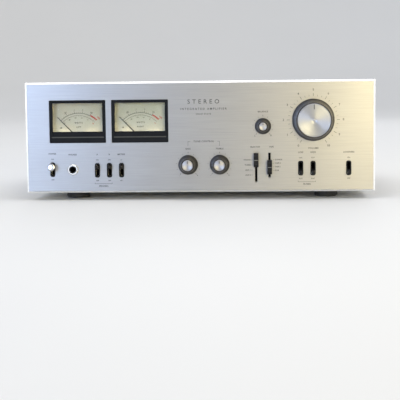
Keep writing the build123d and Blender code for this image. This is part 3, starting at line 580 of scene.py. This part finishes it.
def cuboid(form, low, high, place=Matrix.Identity(4)):
    corners = [form.verts.new(place @ Vector((x, y, z)))
               for x in (low[0], high[0]) for y in (low[1], high[1]) for z in (low[2], high[2])]
    for face in ((0, 1, 3, 2), (4, 6, 7, 5), (0, 4, 5, 1), (2, 3, 7, 6), (0, 2, 6, 4), (1, 5, 7, 3)):
        form.faces.new([corners[i] for i in face])


def rounded_section(half_w, half_h, corner, steps=6):
    """The outline of a rounded rectangle, in order round it."""
    corner = min(corner, half_w, half_h)
    points = []
    for quarter in range(4):
        sx, sz = ((1, 1), (-1, 1), (-1, -1), (1, -1))[quarter]
        for i in range(steps + 1):
            turn = math.pi / 2 * (quarter + i / steps)
            points.append((sx * (half_w - corner) + corner * math.cos(turn),
                           sz * (half_h - corner) + corner * math.sin(turn)))
    return points


def skin(form, rings):
    """Joins rings of points, all with the same count, into one body with capped ends."""
    count = len(rings[0])
    for first, second in zip(rings, rings[1:]):
        for i in range(count):
            after = (i + 1) % count
            form.faces.new((first[i], first[after], second[after], second[i]))
    form.faces.new(rings[0])
    form.faces.new(list(reversed(rings[-1])))


def loft(form, sections, place):
    """Joins rounded rectangles, each (y, half width, half height, corner), into one body."""
    skin(form, [[form.verts.new(place @ Vector((x, y, z))) for x, z in rounded_section(*shape)]
                for y, *shape in sections])


def carved(name, body_form, cutter_form):
    """The first form with the second cut out of it, as a mesh."""
    shapes = []
    for part, form in ((f"{name}_body", body_form), (f"{name}_cutter", cutter_form)):
        shapes.append(new_object(part, mesh_of(part, form)))
    cut = shapes[0].modifiers.new("cut", "BOOLEAN")
    cut.operation = "DIFFERENCE"
    cut.solver = "EXACT"
    cut.object = shapes[1]
    bpy.context.view_layer.update()
    depsgraph = bpy.context.evaluated_depsgraph_get()
    result = bpy.data.meshes.new_from_object(shapes[0].evaluated_get(depsgraph))
    for shape in shapes:
        bpy.data.objects.remove(shape)
    return result


def add_mesh(form, mesh, place):
    """Adds a moved copy of a mesh to a form."""
    before = len(form.verts)
    form.from_mesh(mesh)
    form.verts.ensure_lookup_table()
    bmesh.ops.transform(form, matrix=place, verts=form.verts[before:])


FACE_FRONT = Matrix.Rotation(math.radians(90), 4, "X")
FACE_BACK = Matrix.Rotation(math.radians(180), 4, "Z") @ FACE_FRONT
ALONG_X = Matrix.Rotation(math.radians(90), 4, "Y")


def letter(form, text, at, size, facing=FACE_FRONT, align="CENTER", spin=0.0, spread=1.0):
    """Adds one line of thin lettering, standing just proud of the surface at a point."""
    curve = bpy.data.curves.new("line", "FONT")
    curve.body = text
    curve.size = size * MM
    curve.align_x = align
    curve.align_y = "CENTER"
    curve.extrude = INK_THICK / 2
    curve.offset = INK_BOLD
    curve.resolution_u = 3
    curve.space_character = spread
    line = new_object("line", curve)
    bpy.context.view_layer.update()
    depsgraph = bpy.context.evaluated_depsgraph_get()
    mesh = bpy.data.meshes.new_from_object(line.evaluated_get(depsgraph))
    bpy.data.objects.remove(line)
    glyphs = bmesh.new()
    glyphs.from_mesh(mesh)
    bmesh.ops.remove_doubles(glyphs, verts=glyphs.verts, dist=JOIN)
    bmesh.ops.dissolve_degenerate(glyphs, edges=glyphs.edges, dist=JOIN)
    glyphs.to_mesh(mesh)
    glyphs.free()
    turned = Matrix.Rotation(math.radians(spin), 4, "Z")
    add_mesh(form, mesh, Matrix.Translation(at) @ facing @ turned)
    bpy.data.meshes.remove(mesh)


def stroke(form, start, end, width, y):
    """A thin printed line from one (x, z) point to another, in millimetres, on the plane y."""
    first, second = Vector(start) * MM, Vector(end) * MM
    run = (second - first).normalized()
    side = Vector((-run.y, run.x)) * width * MM / 2
    outline = [first + side, second + side, second - side, first - side]
    near = [form.verts.new((p.x, y - INK_THICK / 2, p.y)) for p in outline]
    far = [form.verts.new((p.x, y + INK_THICK / 2, p.y)) for p in outline]
    form.faces.new(near)
    form.faces.new(list(reversed(far)))
    for i in range(4):
        form.faces.new((near[i], far[i], far[(i + 1) % 4], near[(i + 1) % 4]))


def spoke(form, at, inner, outer, degrees, width, y):
    """A printed line along a radius, at an angle in degrees to the right of upright."""
    stroke(form, round_from(at, inner, degrees), round_from(at, outer, degrees), width, y)


def arc(form, at, radius, width, start, end, y, steps=24):
    """A thin printed arc, with angles in degrees to the right of upright."""
    inner, outer = radius - width / 2, radius + width / 2
    rings = []
    for i in range(steps + 1):
        ring = []
        for r, side in ((inner, -1), (outer, -1), (outer, 1), (inner, 1)):
            x, z = round_from(at, r, start + (end - start) * i / steps)
            ring.append(form.verts.new((x * MM, y + side * INK_THICK / 2, z * MM)))
        rings.append(ring)
    skin(form, rings)


# ---------------- front panel printing
PANEL_INK_Y = PANEL_FRONT - INK_RAISE
LEVERS = {name: pivot(f"{name}_switch_lever") for name in
          ("power", "speaker_a", "speaker_b", "meter_range", "low_filter", "high_filter", "loudness")}
KNOBS = ("volume", "balance", "bass", "treble")
# number of marks, sweep to each side in degrees, gap from the knob,
# lengths of long and short marks, and marks from one long mark to the next
VOLUME_MARKS = (31, 150, 3.0, 3.4, 2.0, 3)
SMALL_MARKS = (11, 140, 1.8, 1.8, 1.1, 5)


def panel_spot(x, z):
    return Vector((x * MM, PANEL_INK_Y, z * MM))


def print_knob_marks(form):
    for name in KNOBS:
        is_volume = name == "volume"
        count, sweep, gap, long_mark, short_mark, between = VOLUME_MARKS if is_volume else SMALL_MARKS
        at = in_mm(middle(f"{name}_knob_cap"))
        low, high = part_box(f"{name}_knob_body")
        inner = (high.x - low.x) / 2 / MM + gap
        for i in range(count):
            major = i % between == 0
            outer = inner + (long_mark if major else short_mark)
            degrees = -sweep + 2 * sweep * i / (count - 1)
            spoke(form, at, inner, outer, degrees, 0.45 if major else 0.3, PANEL_INK_Y)
        if is_volume:
            for number in range(11):
                degrees = -sweep + 2 * sweep * number / 10
                spot = panel_spot(*round_from(at, inner + 7.4, degrees))
                letter(form, str(number), spot, 3.6)
        else:
            for text, side in zip(("L", "R") if name == "balance" else ("-", "+"), (-1, 1)):
                letter(form, text, panel_spot(*round_from(at, inner + 3.4, side * sweep)), 2.6)


def print_front_panel():
    """Names of the controls, scales round the knobs and bracket lines, all generic words and numbers."""
    form = bmesh.new()
    base = PANEL_BASE / MM

    def word(text, x, z, size=2.6, **more):
        letter(form, text, panel_spot(x, z), size, **more)

    def line(start, end, width=0.3):
        stroke(form, start, end, width, PANEL_INK_Y)

    title_x = (in_mm(middle("bass_knob_cap"))[0] + in_mm(middle("treble_knob_cap"))[0]) / 2
    word("STEREO", title_x, base + 106, 7.0, spread=1.75)
    word("INTEGRATED AMPLIFIER", title_x, base + 97.6, 3.4, spread=1.55)
    word("SOLID STATE", title_x, base + 91.6, 2.4, spread=1.3)
    print_knob_marks(form)

    tone_z = base + 59.6
    word("TONE CONTROL", title_x, tone_z, 2.8, spread=1.15)
    for name in ("bass", "treble"):
        x, z = in_mm(middle(f"{name}_knob_cap"))
        word(name.upper(), x, z + 18.6, spread=1.1)
        inward = 1 if x < title_x else -1
        line((title_x - inward * 16, tone_z), (x, tone_z))
        line((x, tone_z), (x, tone_z - 5.4))

    x, z = in_mm(middle("balance_knob_cap"))
    word("BALANCE", x, z + 16.8, spread=1.1)
    x, z = in_mm(middle("volume_knob_cap"))
    word("VOLUME", x, z - 33.2, 2.8, spread=1.15)

    # lever: (name, marking for lever up, marking for lever down)
    words = {
        "power": ("POWER", "ON", "OFF"),
        "speaker_a": ("A", "ON", "OFF"),
        "speaker_b": ("B", "ON", "OFF"),
        "meter_range": ("METERS", "x1", "x0.1"),
        "low_filter": ("LOW", "CUT", "FLAT"),
        "high_filter": ("HIGH", "CUT", "FLAT"),
        "loudness": ("LOUDNESS", "ON", "OFF"),
    }
    for name, spot in LEVERS.items():
        x, z = in_mm(spot)
        title, up, down = words[name]
        word(title, x, z + 18.6)
        word(up, x, z + 12.2, 2.0)
        word(down, x, z - 12.2, 2.0)
    for first, last, text in (("speaker_a", "speaker_b", "SPEAKERS"),
                              ("low_filter", "high_filter", "FILTERS")):
        left, z = in_mm(LEVERS[first])
        right = in_mm(LEVERS[last])[0]
        word(text, (left + right) / 2, z - 18.8)
        line((left - 3, z - 16.0), (right + 3, z - 16.0), 0.35)
        for x in (left - 3, right + 3):
            line((x, z - 16.0), (x, z - 14.6), 0.35)
    x, z = in_mm(middle("headphone_jack"))
    word("PHONES", x, z + 17.7)

    low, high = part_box("input_selector_handle")
    travel = JOINTS["input_selector"]["range_m"]
    edge = in_mm(low)[0] - 3.4
    for i, text in enumerate(("PHONO", "TUNER", "AUX 1", "AUX 2")):
        z = ((low.z + high.z) / 2 + travel[0] * i / 3) / MM
        word(text, edge, z, 2.2, align="RIGHT")
        line((edge + 0.7, z), (edge + 2.4, z))
    tape_low, tape_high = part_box("tape_selector_handle")
    travel = JOINTS["tape_selector"]["range_m"]
    edge = in_mm(tape_high)[0] + 3.4
    for i, text in enumerate(("DUB", "TAPE 1", "TAPE 2", "SOURCE")):
        z = ((tape_low.z + tape_high.z) / 2 + travel[0] + (travel[1] - travel[0]) * i / 3) / MM
        word(text, edge, z, 2.2, align="LEFT")
        line((edge - 2.4, z), (edge - 0.7, z))
    selectors_x = ((low.x + high.x) / 2 + (tape_low.x + tape_high.x) / 2) / 2 / MM
    word("SELECTOR", selectors_x - 9, base + 52.5, 2.4)
    word("TAPE", selectors_x + 10, base + 52.5, 2.4)
    finish_piece("panel_printing", form, "panel_ink", "amplifier")


# ---------------- knobs
def make_knob(name, ribs, rib_depth, dish):
    """A ribbed dark body, a turned metal facing with a bright chamfer, and an index line."""
    body_low, body_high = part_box(f"{name}_knob_body")
    cap_low, cap_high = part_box(f"{name}_knob_cap")
    base_r = (body_high.x - body_low.x) / 2
    cap_r = (cap_high.x - cap_low.x) / 2
    rim_r = cap_r + MM
    centre = Vector(((cap_low.x + cap_high.x) / 2, cap_low.y, (cap_low.z + cap_high.z) / 2))
    place = along_y(centre)
    # heights above the cap's front, so the ones behind it are below zero
    rim, back, seat = (cap_low.y - behind for behind in (body_low.y, body_high.y, cap_high.y))
    reach = rim - back
    pocket_r = cap_r + 0.05 * MM
    shaft_low, shaft_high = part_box(f"{name}_shaft")
    bore_r = (shaft_high.x - shaft_low.x) / 2 + 0.02 * MM
    hub_r = bore_r + 1.8 * MM
    skirt_r = base_r - rib_depth * 0.2
    profile = [
        (0, seat), (pocket_r, seat), (pocket_r, rim - 0.1 * MM), (cap_r + 0.25 * MM, rim),
        (rim_r - 0.3 * MM, rim), (rim_r, rim - 0.3 * MM), (rim_r + 0.05 * MM, rim - 0.7 * MM),
        (rim_r + 0.08 * MM, rim - 0.9 * MM, True),
        (rim_r + (skirt_r - rim_r) * 0.5, rim - reach * 0.45, True),
        (skirt_r, back + 2.2 * MM, True), (skirt_r, back + 2.0 * MM),
        (base_r, back + 1.7 * MM), (base_r, back + 0.4 * MM),
        (base_r - 0.4 * MM, back), (base_r * 0.8, back),
        (base_r * 0.8, back + 4 * MM), (hub_r, back + 4 * MM), (hub_r, back),
        (bore_r, back), (bore_r, seat - 2 * MM), (0, seat - 2 * MM),
    ]
    form = bmesh.new()
    lathe(form, profile, place, steps=ribs * 4, ribs=ribs, depth=rib_depth)
    body = f"{name}_knob"
    finish_piece(f"{name}_knob_side", form, "knob_side", body, 40, [f"{name}_knob_body"])

    form = bmesh.new()
    edge = 0.6 * MM
    face = [(0, -dish), (cap_r * 0.06, -dish)]
    face += [(cap_r * 0.08, -dish - 0.12 * MM), (cap_r * 0.1, -dish)]
    face += [(cap_r * f, -dish * (1 - f * f)) for f in (0.25, 0.4, 0.55, 0.7, 0.82)]
    lip = cap_r - edge - 0.35 * MM
    face += [(lip, -0.1 * MM), (lip + 0.25 * MM, 0), (cap_r - edge, 0), (cap_r, -edge), (cap_r, seat)]
    lathe(form, face + [(0, seat)], place, steps=160)
    metal, width, start = ("volume_metal_shaded", 0.9, 0.66) if name == "volume" else ("spun_metal", 0.7, 0.35)
    finish_piece(f"{name}_knob_face", form, metal, body, 20, [f"{name}_knob_cap"])

    form = bmesh.new()
    half_w = width * MM / 2
    cuboid(form, (-half_w, cap_r * start, -1.0 * MM), (half_w, cap_r - 0.9 * MM, 0.03 * MM), place)
    finish_piece(f"{name}_knob_index", form, "panel_ink", body)


# ---------------- levers and selectors
# the ring that each lever turns on: bore, outer radius and half its width
PIVOT_BORE_R, HUB_R, HUB_HALF = 1.25 * MM, 3.2 * MM, 1.7 * MM


def make_lever(name):
    """A paddle lever with finger grooves, or a turned chrome lever for the power switch.

    Its hub is a ring that clears the switch's pivot pin.
    """
    body = f"{name}_switch_lever"
    halfway = sum(JOINTS[body]["range_deg"]) / 2
    tilt = Matrix.Rotation(math.radians(-halfway), 4, "X")
    place = Matrix.Translation(LEVERS[name]) @ tilt
    form = bmesh.new()
    ease = 0.3 * MM
    hub = [
        (PIVOT_BORE_R, -HUB_HALF), (HUB_R - ease, -HUB_HALF), (HUB_R, ease - HUB_HALF),
        (HUB_R, HUB_HALF - ease), (HUB_R - ease, HUB_HALF), (PIVOT_BORE_R, HUB_HALF),
        (PIVOT_BORE_R, -HUB_HALF),
    ]
    lathe(form, hub, place @ ALONG_X, steps=48)
    if name == "power":
        profile = [
            (0, 1.9), (1.5, 1.9), (1.5, 24), (2.0, 24.6), (2.3, 25.4), (3.0, 27.5), (3.7, 30),
            (4.05, 31.2), (3.85, 31.5), (4.15, 31.8), (4.3, 32.6), (4.1, 32.9), (4.38, 33.2),
            (4.4, 34.0), (4.1, 34.6), (3.3, 34.93), (1.8, 35.0), (0, 35.0),
        ]
        lathe(form, from_mm(profile), place @ FACE_FRONT, steps=64)
        finish_piece("power_lever_metal", form, "chrome", body, 35, ["power_lever"])
        return
    sections = [(-1.5, 1.3, 1.5, 0.5), (-21, 1.3, 1.5, 0.5), (-23, 1.5, 1.7, 0.6), (-26, 1.65, 1.85, 0.7)]
    for groove in range(4):
        y = -28.2 - 1.5 * groove
        sections += [(y, 1.7, 1.9, 0.7), (y - 0.35, 1.7, 1.62, 0.6)]
        sections += [(y - 0.75, 1.7, 1.62, 0.6), (y - 1.1, 1.7, 1.9, 0.7)]
    sections += [(-34.2, 1.68, 1.85, 0.8), (-34.7, 1.5, 1.6, 0.9), (-35.0, 1.0, 1.1, 0.9)]
    loft(form, [tuple(v * MM for v in section) for section in sections], place)
    finish_piece(f"{name}_lever_paddle", form, "control_black", body, 30,
                 [f"{name}_lever"])


def make_selector(name):
    """A ridged slide handle with a grey centre line, on its flat stem and carriage."""
    low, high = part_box(f"{name}_selector_handle")
    x, z = (low.x + high.x) / 2, (low.z + high.z) / 2
    half_h = (high.z - low.z) / 2
    front, back = low.y, PANEL_FRONT - 0.6 * MM
    bevel, round_off = 3.0 * MM, 0.3 * MM
    groove = front + 0.45 * MM
    outline = [(back, -half_h + round_off), (back - round_off, -half_h)]
    outline += [(front + bevel, -half_h), (front + 0.2 * MM, -half_h + bevel)]
    ridges = 6
    flat = 2 * (half_h - bevel)
    step = flat / ridges
    for i in range(ridges):
        z0 = -half_h + bevel + flat * (i + 0.15) / ridges
        outline += [(front, z0), (front, z0 + step * 0.4)]
        outline += [(groove, z0 + step * 0.55), (groove, z0 + step * 0.75)]
    outline += [(front, half_h - bevel), (front + bevel, half_h)]
    outline += [(back - round_off, half_h), (back, half_h - round_off)]
    half_w, ease = 2.8 * MM, 0.35 * MM
    form = bmesh.new()
    rings = []
    for across, shrink in ((-half_w, ease), (ease - half_w, 0), (half_w - ease, 0), (half_w, ease)):
        ring = []
        for y, height in outline:
            depth = y + shrink if y < back - ease else y
            tall = height - math.copysign(shrink, height) * min(1.0, abs(height) / half_h)
            ring.append(form.verts.new((x + across, depth, z + tall)))
        rings.append(ring)
    skin(form, rings)
    carriage = high.y - 4 * MM

    def block(form, wide, from_y, to_y, tall):
        cuboid(form, (x - wide, from_y, z - tall), (x + wide, to_y, z + tall))

    block(form, 0.9 * MM, back - 0.2 * MM, carriage + 0.1 * MM, 5.5 * MM)
    block(form, 3 * MM, carriage, high.y, 6 * MM)
    body = f"{name}_selector"
    finish_piece(f"{name}_selector_grip", form, "control_black", body, 25,
                 [f"{name}_selector_handle"])
    form = bmesh.new()
    block(form, 2.3 * MM, front - 0.03 * MM, front + 0.6 * MM, 0.2 * MM)
    finish_piece(f"{name}_selector_line", form, "grey_ink", body)


# ---------------- meters
# degrees from upright: how far each scale reaches to both sides, and where its red end starts
METER_SWEEP = 45
RED_FROM = 28


def print_dial(side):
    """Two scales round the needle's pivot, with a red end, and the line across the bezel's bar."""
    centre = pivot(f"{side}_needle")
    at = in_mm(centre)
    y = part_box("meter_scales")[0].y - INK_RAISE
    black, red = bmesh.new(), bmesh.new()
    watts_r = 29.5
    db_r = watts_r - 2.6
    arc(black, at, watts_r, 0.45, -METER_SWEEP, RED_FROM, y)
    arc(red, at, watts_r, 0.45, RED_FROM, METER_SWEEP, y)
    arc(red, at, watts_r + 0.95, 1.1, RED_FROM, METER_SWEEP, y)
    arc(black, at, db_r, 0.25, -METER_SWEEP, METER_SWEEP, y)
    marks = 21
    for i in range(marks):
        degrees = -METER_SWEEP + 2 * METER_SWEEP * i / (marks - 1)
        length, width = (2.4, 0.4) if i % 4 == 0 else (1.3, 0.25)
        form = red if degrees > RED_FROM else black
        spoke(form, at, watts_r, watts_r + length, degrees, width, y)
        spoke(black, at, db_r, db_r - 1.1, degrees, 0.22, y)
    scales = ((("0", ".01", ".1", "1", "10", "100"), watts_r + 4.1, 2.9),
              (("-40", "-20", "-10", "-5", "0", "+3"), db_r - 2.7, 2.0))
    for texts, radius, size in scales:
        for i, text in enumerate(texts):
            degrees = -METER_SWEEP + 2 * METER_SWEEP * i / (len(texts) - 1)
            x, z = round_from(at, radius, degrees)
            form = red if i == len(texts) - 1 else black
            letter(form, text, Vector((x * MM, y, z * MM)), size, spin=-degrees)
    letter(black, "WATTS", centre + Vector((0, y - centre.y, 18.0 * MM)), 2.6, spread=1.2)
    letter(black, "dB", centre + Vector((-21 * MM, y - centre.y, 12.2 * MM)), 2.4)
    letter(black, side.upper(), centre + Vector((0, y - centre.y, 13.0 * MM)), 2.4, spread=1.2)
    finish_piece(f"{side}_dial_printing", black, "dial_ink", "amplifier")
    bar = bmesh.new()
    low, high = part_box("meter_lenses")
    half = (high.x - low.x - (pivot("right_needle").x - pivot("left_needle").x)) / 2 / MM
    line_z = in_mm(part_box("meter_cases")[0])[1] + 6.6
    stroke(bar, (at[0] - half, line_z), (at[0] + half, line_z), 1.3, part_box("meter_bezels")[0].y - INK_RAISE)
    finish_piece(f"{side}_bar_line", bar, "bar_line", "amplifier")
    finish_piece(f"{side}_dial_red", red, "dial_red", "amplifier")


# ---------------- screws, feet and rear connectors
def screw_head(name, radius, height, slot_w):
    """A domed head with a cross recess, standing on the plane z = 0."""
    form = bmesh.new()
    dome = [(0, 0), (radius, 0), (radius, height * 0.25)]
    dome += [(radius * math.cos(a), height * (0.25 + 0.75 * math.sin(a)))
             for a in (math.radians(d) for d in (20, 40, 60, 75))]
    lathe(form, dome + [(0, height)], Matrix.Identity(4), steps=40)
    cutter = bmesh.new()
    for half_x, half_y in ((radius * 0.55, slot_w / 2), (slot_w / 2, radius * 0.55)):
        cuboid(cutter, (-half_x, -half_y, height * 0.3), (half_x, half_y, height * 2))
    return carved(name, form, cutter)


# where the CAD puts the screws, in millimetres
SIDE_SCREWS_Y, SIDE_SCREWS_Z = (-95, 120), 28
BACK_SCREWS_X, PANEL_SCREWS_Z, COVER_SCREWS_Z = (-150, 0, 150), 20, 128
FOOT_SCREWS_X, FOOT_SCREWS_Y = (-150, 150), (-105, 115)
# the hole under each foot that its screw sits in: radius and depth
FOOT_RECESS_R, FOOT_RECESS = 5.0, 6.0


def make_case_screws():
    """Heads on the sides, the back and under the feet, each with its recess at its own angle."""
    cover_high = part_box("top_cover")[1]
    head = screw_head("head", 3.8 * MM, 2.2 * MM, 1.1 * MM)
    form = bmesh.new()
    for y in SIDE_SCREWS_Y:
        for side in (-1, 1):
            outward = Matrix.Rotation(math.radians(90 * side), 4, "Y")
            turn = Matrix.Rotation(0.5 * side + y * MM * 9, 4, "Z")
            spot = Matrix.Translation((side * cover_high.x, y * MM, SIDE_SCREWS_Z * MM))
            add_mesh(form, head, spot @ outward @ turn)
    small = screw_head("small_head", 3.2 * MM, 2.0 * MM, 0.95 * MM)
    for x in BACK_SCREWS_X:
        for z, seat in ((PANEL_SCREWS_Z, REAR_FACE), (COVER_SCREWS_Z, cover_high.y)):
            turn = Matrix.Rotation(0.4 + x * 0.01 + z * 0.02, 4, "Z")
            add_mesh(form, small, along_minus_y((x * MM, seat, z * MM)) @ turn)
    downward = Matrix.Rotation(math.radians(180), 4, "X")
    for x in FOOT_SCREWS_X:
        for y in FOOT_SCREWS_Y:
            turn = Matrix.Rotation(x + y, 4, "Z")
            spot = Matrix.Translation((x * MM, y * MM, FOOT_RECESS * MM))
            add_mesh(form, head, spot @ downward @ turn)
    finish_piece("case_screw_heads", form, "black_oxide", "amplifier", 30, ["case_screws"])


def make_feet():
    """Round moulded feet with two grooves, a soft lower edge and a recess for the screw."""
    low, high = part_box("feet")
    radius = 14 * MM
    top = high.z / MM
    profile = [
        (0.0, FOOT_RECESS), (FOOT_RECESS_R, FOOT_RECESS), (FOOT_RECESS_R, 0.6), (5.5, 0.0),
        (12.4, 0.0), (13.3, 0.5), (13.8, 1.5), (13.9, 4.0), (13.3, 4.3), (13.3, 5.0), (13.9, 5.3),
        (13.95, 8.0), (13.4, 8.3), (13.4, 9.0), (13.98, 9.3), (14.0, top), (0.0, top),
    ]
    form = bmesh.new()
    for x in (low.x + radius, high.x - radius):
        for y in (low.y + radius, high.y - radius):
            lathe(form, from_mm(profile), Matrix.Translation((x, y, 0)), steps=72)
    finish_piece("round_feet", form, "foot_plastic", "amplifier", 30, ["feet"])


RCA_FLANGE_R = 5.8 * MM


def rca_grid():
    """The socket middles' places along X, and the heights of their lower and upper rows."""
    low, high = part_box("rca_shells")
    first, last = low.x + RCA_FLANGE_R, high.x - RCA_FLANGE_R
    columns = [first + (last - first) * column / 5 for column in range(6)]
    return columns, (low.z + RCA_FLANGE_R, high.z - RCA_FLANGE_R)


def make_rca_shells():
    """Nickel shells with a rolled lip, on six-sided flanges, and the spring contact in each middle."""
    shells, contacts = bmesh.new(), bmesh.new()
    low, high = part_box("rca_shells")
    reach = (high.y - REAR_FACE) / MM
    inner = (low.y - REAR_FACE) / MM
    barrel = [
        (3.5, inner), (3.5, reach - 0.3), (3.6, reach), (3.95, reach), (4.12, reach - 0.25),
        (4.15, reach - 0.6), (4.05, reach - 1.0), (4.1, reach - 1.4), (4.12, 2.0), (4.4, 1.62),
        (4.6, 1.5), (4.6, 0.2), (4.0, 0.2), (4.0, inner), (3.5, inner),
    ]
    contact = [
        (1.6, -2.5), (1.6, reach - 0.75), (1.75, reach - 0.45), (2.1, reach - 0.45), (2.1, -2.5),
        (1.6, -2.5),
    ]
    six = [math.radians(60 * k + 15) for k in range(6)]
    columns, rows = rca_grid()
    for z in rows:
        for x in columns:
            place = along_minus_y((x, REAR_FACE, z))
            lathe(shells, from_mm(barrel), place, steps=48)
            flange = []
            for radius, height in ((RCA_FLANGE_R * 0.94, 1.5), (RCA_FLANGE_R, 1.15), (RCA_FLANGE_R, 0)):
                corners = [(radius * math.cos(a), radius * math.sin(a), height * MM) for a in six]
                flange.append([shells.verts.new(place @ Vector(corner)) for corner in corners])
            skin(shells, flange)
            lathe(contacts, from_mm(contact), place, steps=32)
    finish_piece("phono_socket_shells", shells, "nickel", "amplifier", 30, ["rca_shells"])
    finish_piece("phono_socket_contacts", contacts, "gold_contact", "amplifier", 30)


def print_rear_panel():
    """Names of the connectors on the back, all generic words."""
    form = bmesh.new()
    y = REAR_FACE + INK_RAISE

    def word(text, x, z, size=2.8, **more):
        letter(form, text, Vector((x * MM, y, z * MM)), size, FACE_BACK, **more)

    columns, rows = ([place / MM for place in places] for places in rca_grid())
    for text, x in zip(("PHONO", "TUNER", "AUX 1", "AUX 2", "TAPE PLAY", "TAPE REC"), columns):
        word(text, x, rows[1] + 11.0, 2.6)
    for text, z in (("L", rows[1]), ("R", rows[0])):
        word(text, columns[0] - 11.5, z, 4.2)
        stroke(form, (columns[0] - 7, z - 9.0), (columns[-1] + 7, z - 9.0), 0.3, y)
    low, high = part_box("speaker_terminal_block")
    word("SPEAKERS", (low.x + high.x) / 2 / MM, high.z / MM + 10.0, 3.6, spread=1.2)
    for i in range(4):
        x = (low.x + (high.x - low.x) * (i + 0.5) / 4) / MM
        word(("B  R", "B  L", "A  R", "A  L")[i], x, high.z / MM + 4.2, 2.6)
        word("-   +", x, low.z / MM - 4.4, 3.0)
    x, z = in_mm(middle("ground_screw"))
    word("GND", x, z - 11.5, 3.0)
    low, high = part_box("ac_inlet")
    word("AC IN", (low.x + high.x) / 2 / MM, high.z / MM + 5.2, 3.4, spread=1.15)
    finish_piece("rear_printing", form, "white_ink", "amplifier")


def make_inlet_pins():
    """Two bright round-ended pins over the moulded ones of the mains inlet."""
    low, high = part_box("ac_inlet")
    x, z = (low.x + high.x) / 2, (low.z + high.z) / 2
    form = bmesh.new()
    for side in (-1, 1):
        place = along_minus_y((x + side * 5 * MM, high.y - 15 * MM, z))
        profile = [(0, 0), (1.24, 0), (1.24, 8.6), (0.95, 9.2), (0.4, 9.5), (0, 9.54)]
        lathe(form, from_mm(profile), place, steps=32)
    finish_piece("mains_inlet_pins", form, "nickel", "amplifier")


def place_floor():
    """A pale floor that sweeps up into a pale wall all round."""
    form = bmesh.new()
    flat, sweep = 2.6, 1.7
    profile = [(r, 0.0) for r in (0.0, 0.3, 1.0, 2.0, flat)]
    bends = [math.radians(degrees) for degrees in range(10, 90, 10)]
    profile += [(flat + sweep * math.sin(bend), sweep * (1 - math.cos(bend))) for bend in bends]
    lathe(form, profile, Matrix.Identity(4), steps=96)
    mesh = mesh_of("floor", form)
    mesh.shade_smooth()
    mesh.materials.append(LOOKS["pale_floor"])
    floor = new_object("floor", mesh)


place_camera()
place_floor()
place_lights()
dress_cad_nodes()
print_front_panel()
make_knob("volume", 96, 0.32 * MM, 0.45 * MM)
make_knob("balance", 48, 0.22 * MM, 0.2 * MM)
make_knob("bass", 60, 0.25 * MM, 0.25 * MM)
make_knob("treble", 60, 0.25 * MM, 0.25 * MM)
for lever in LEVERS:
    make_lever(lever)
for selector in ("input", "tape"):
    make_selector(selector)
for side in ("left", "right"):
    print_dial(side)
make_case_screws()
make_feet()
make_rca_shells()
make_inlet_pins()
print_rear_panel()
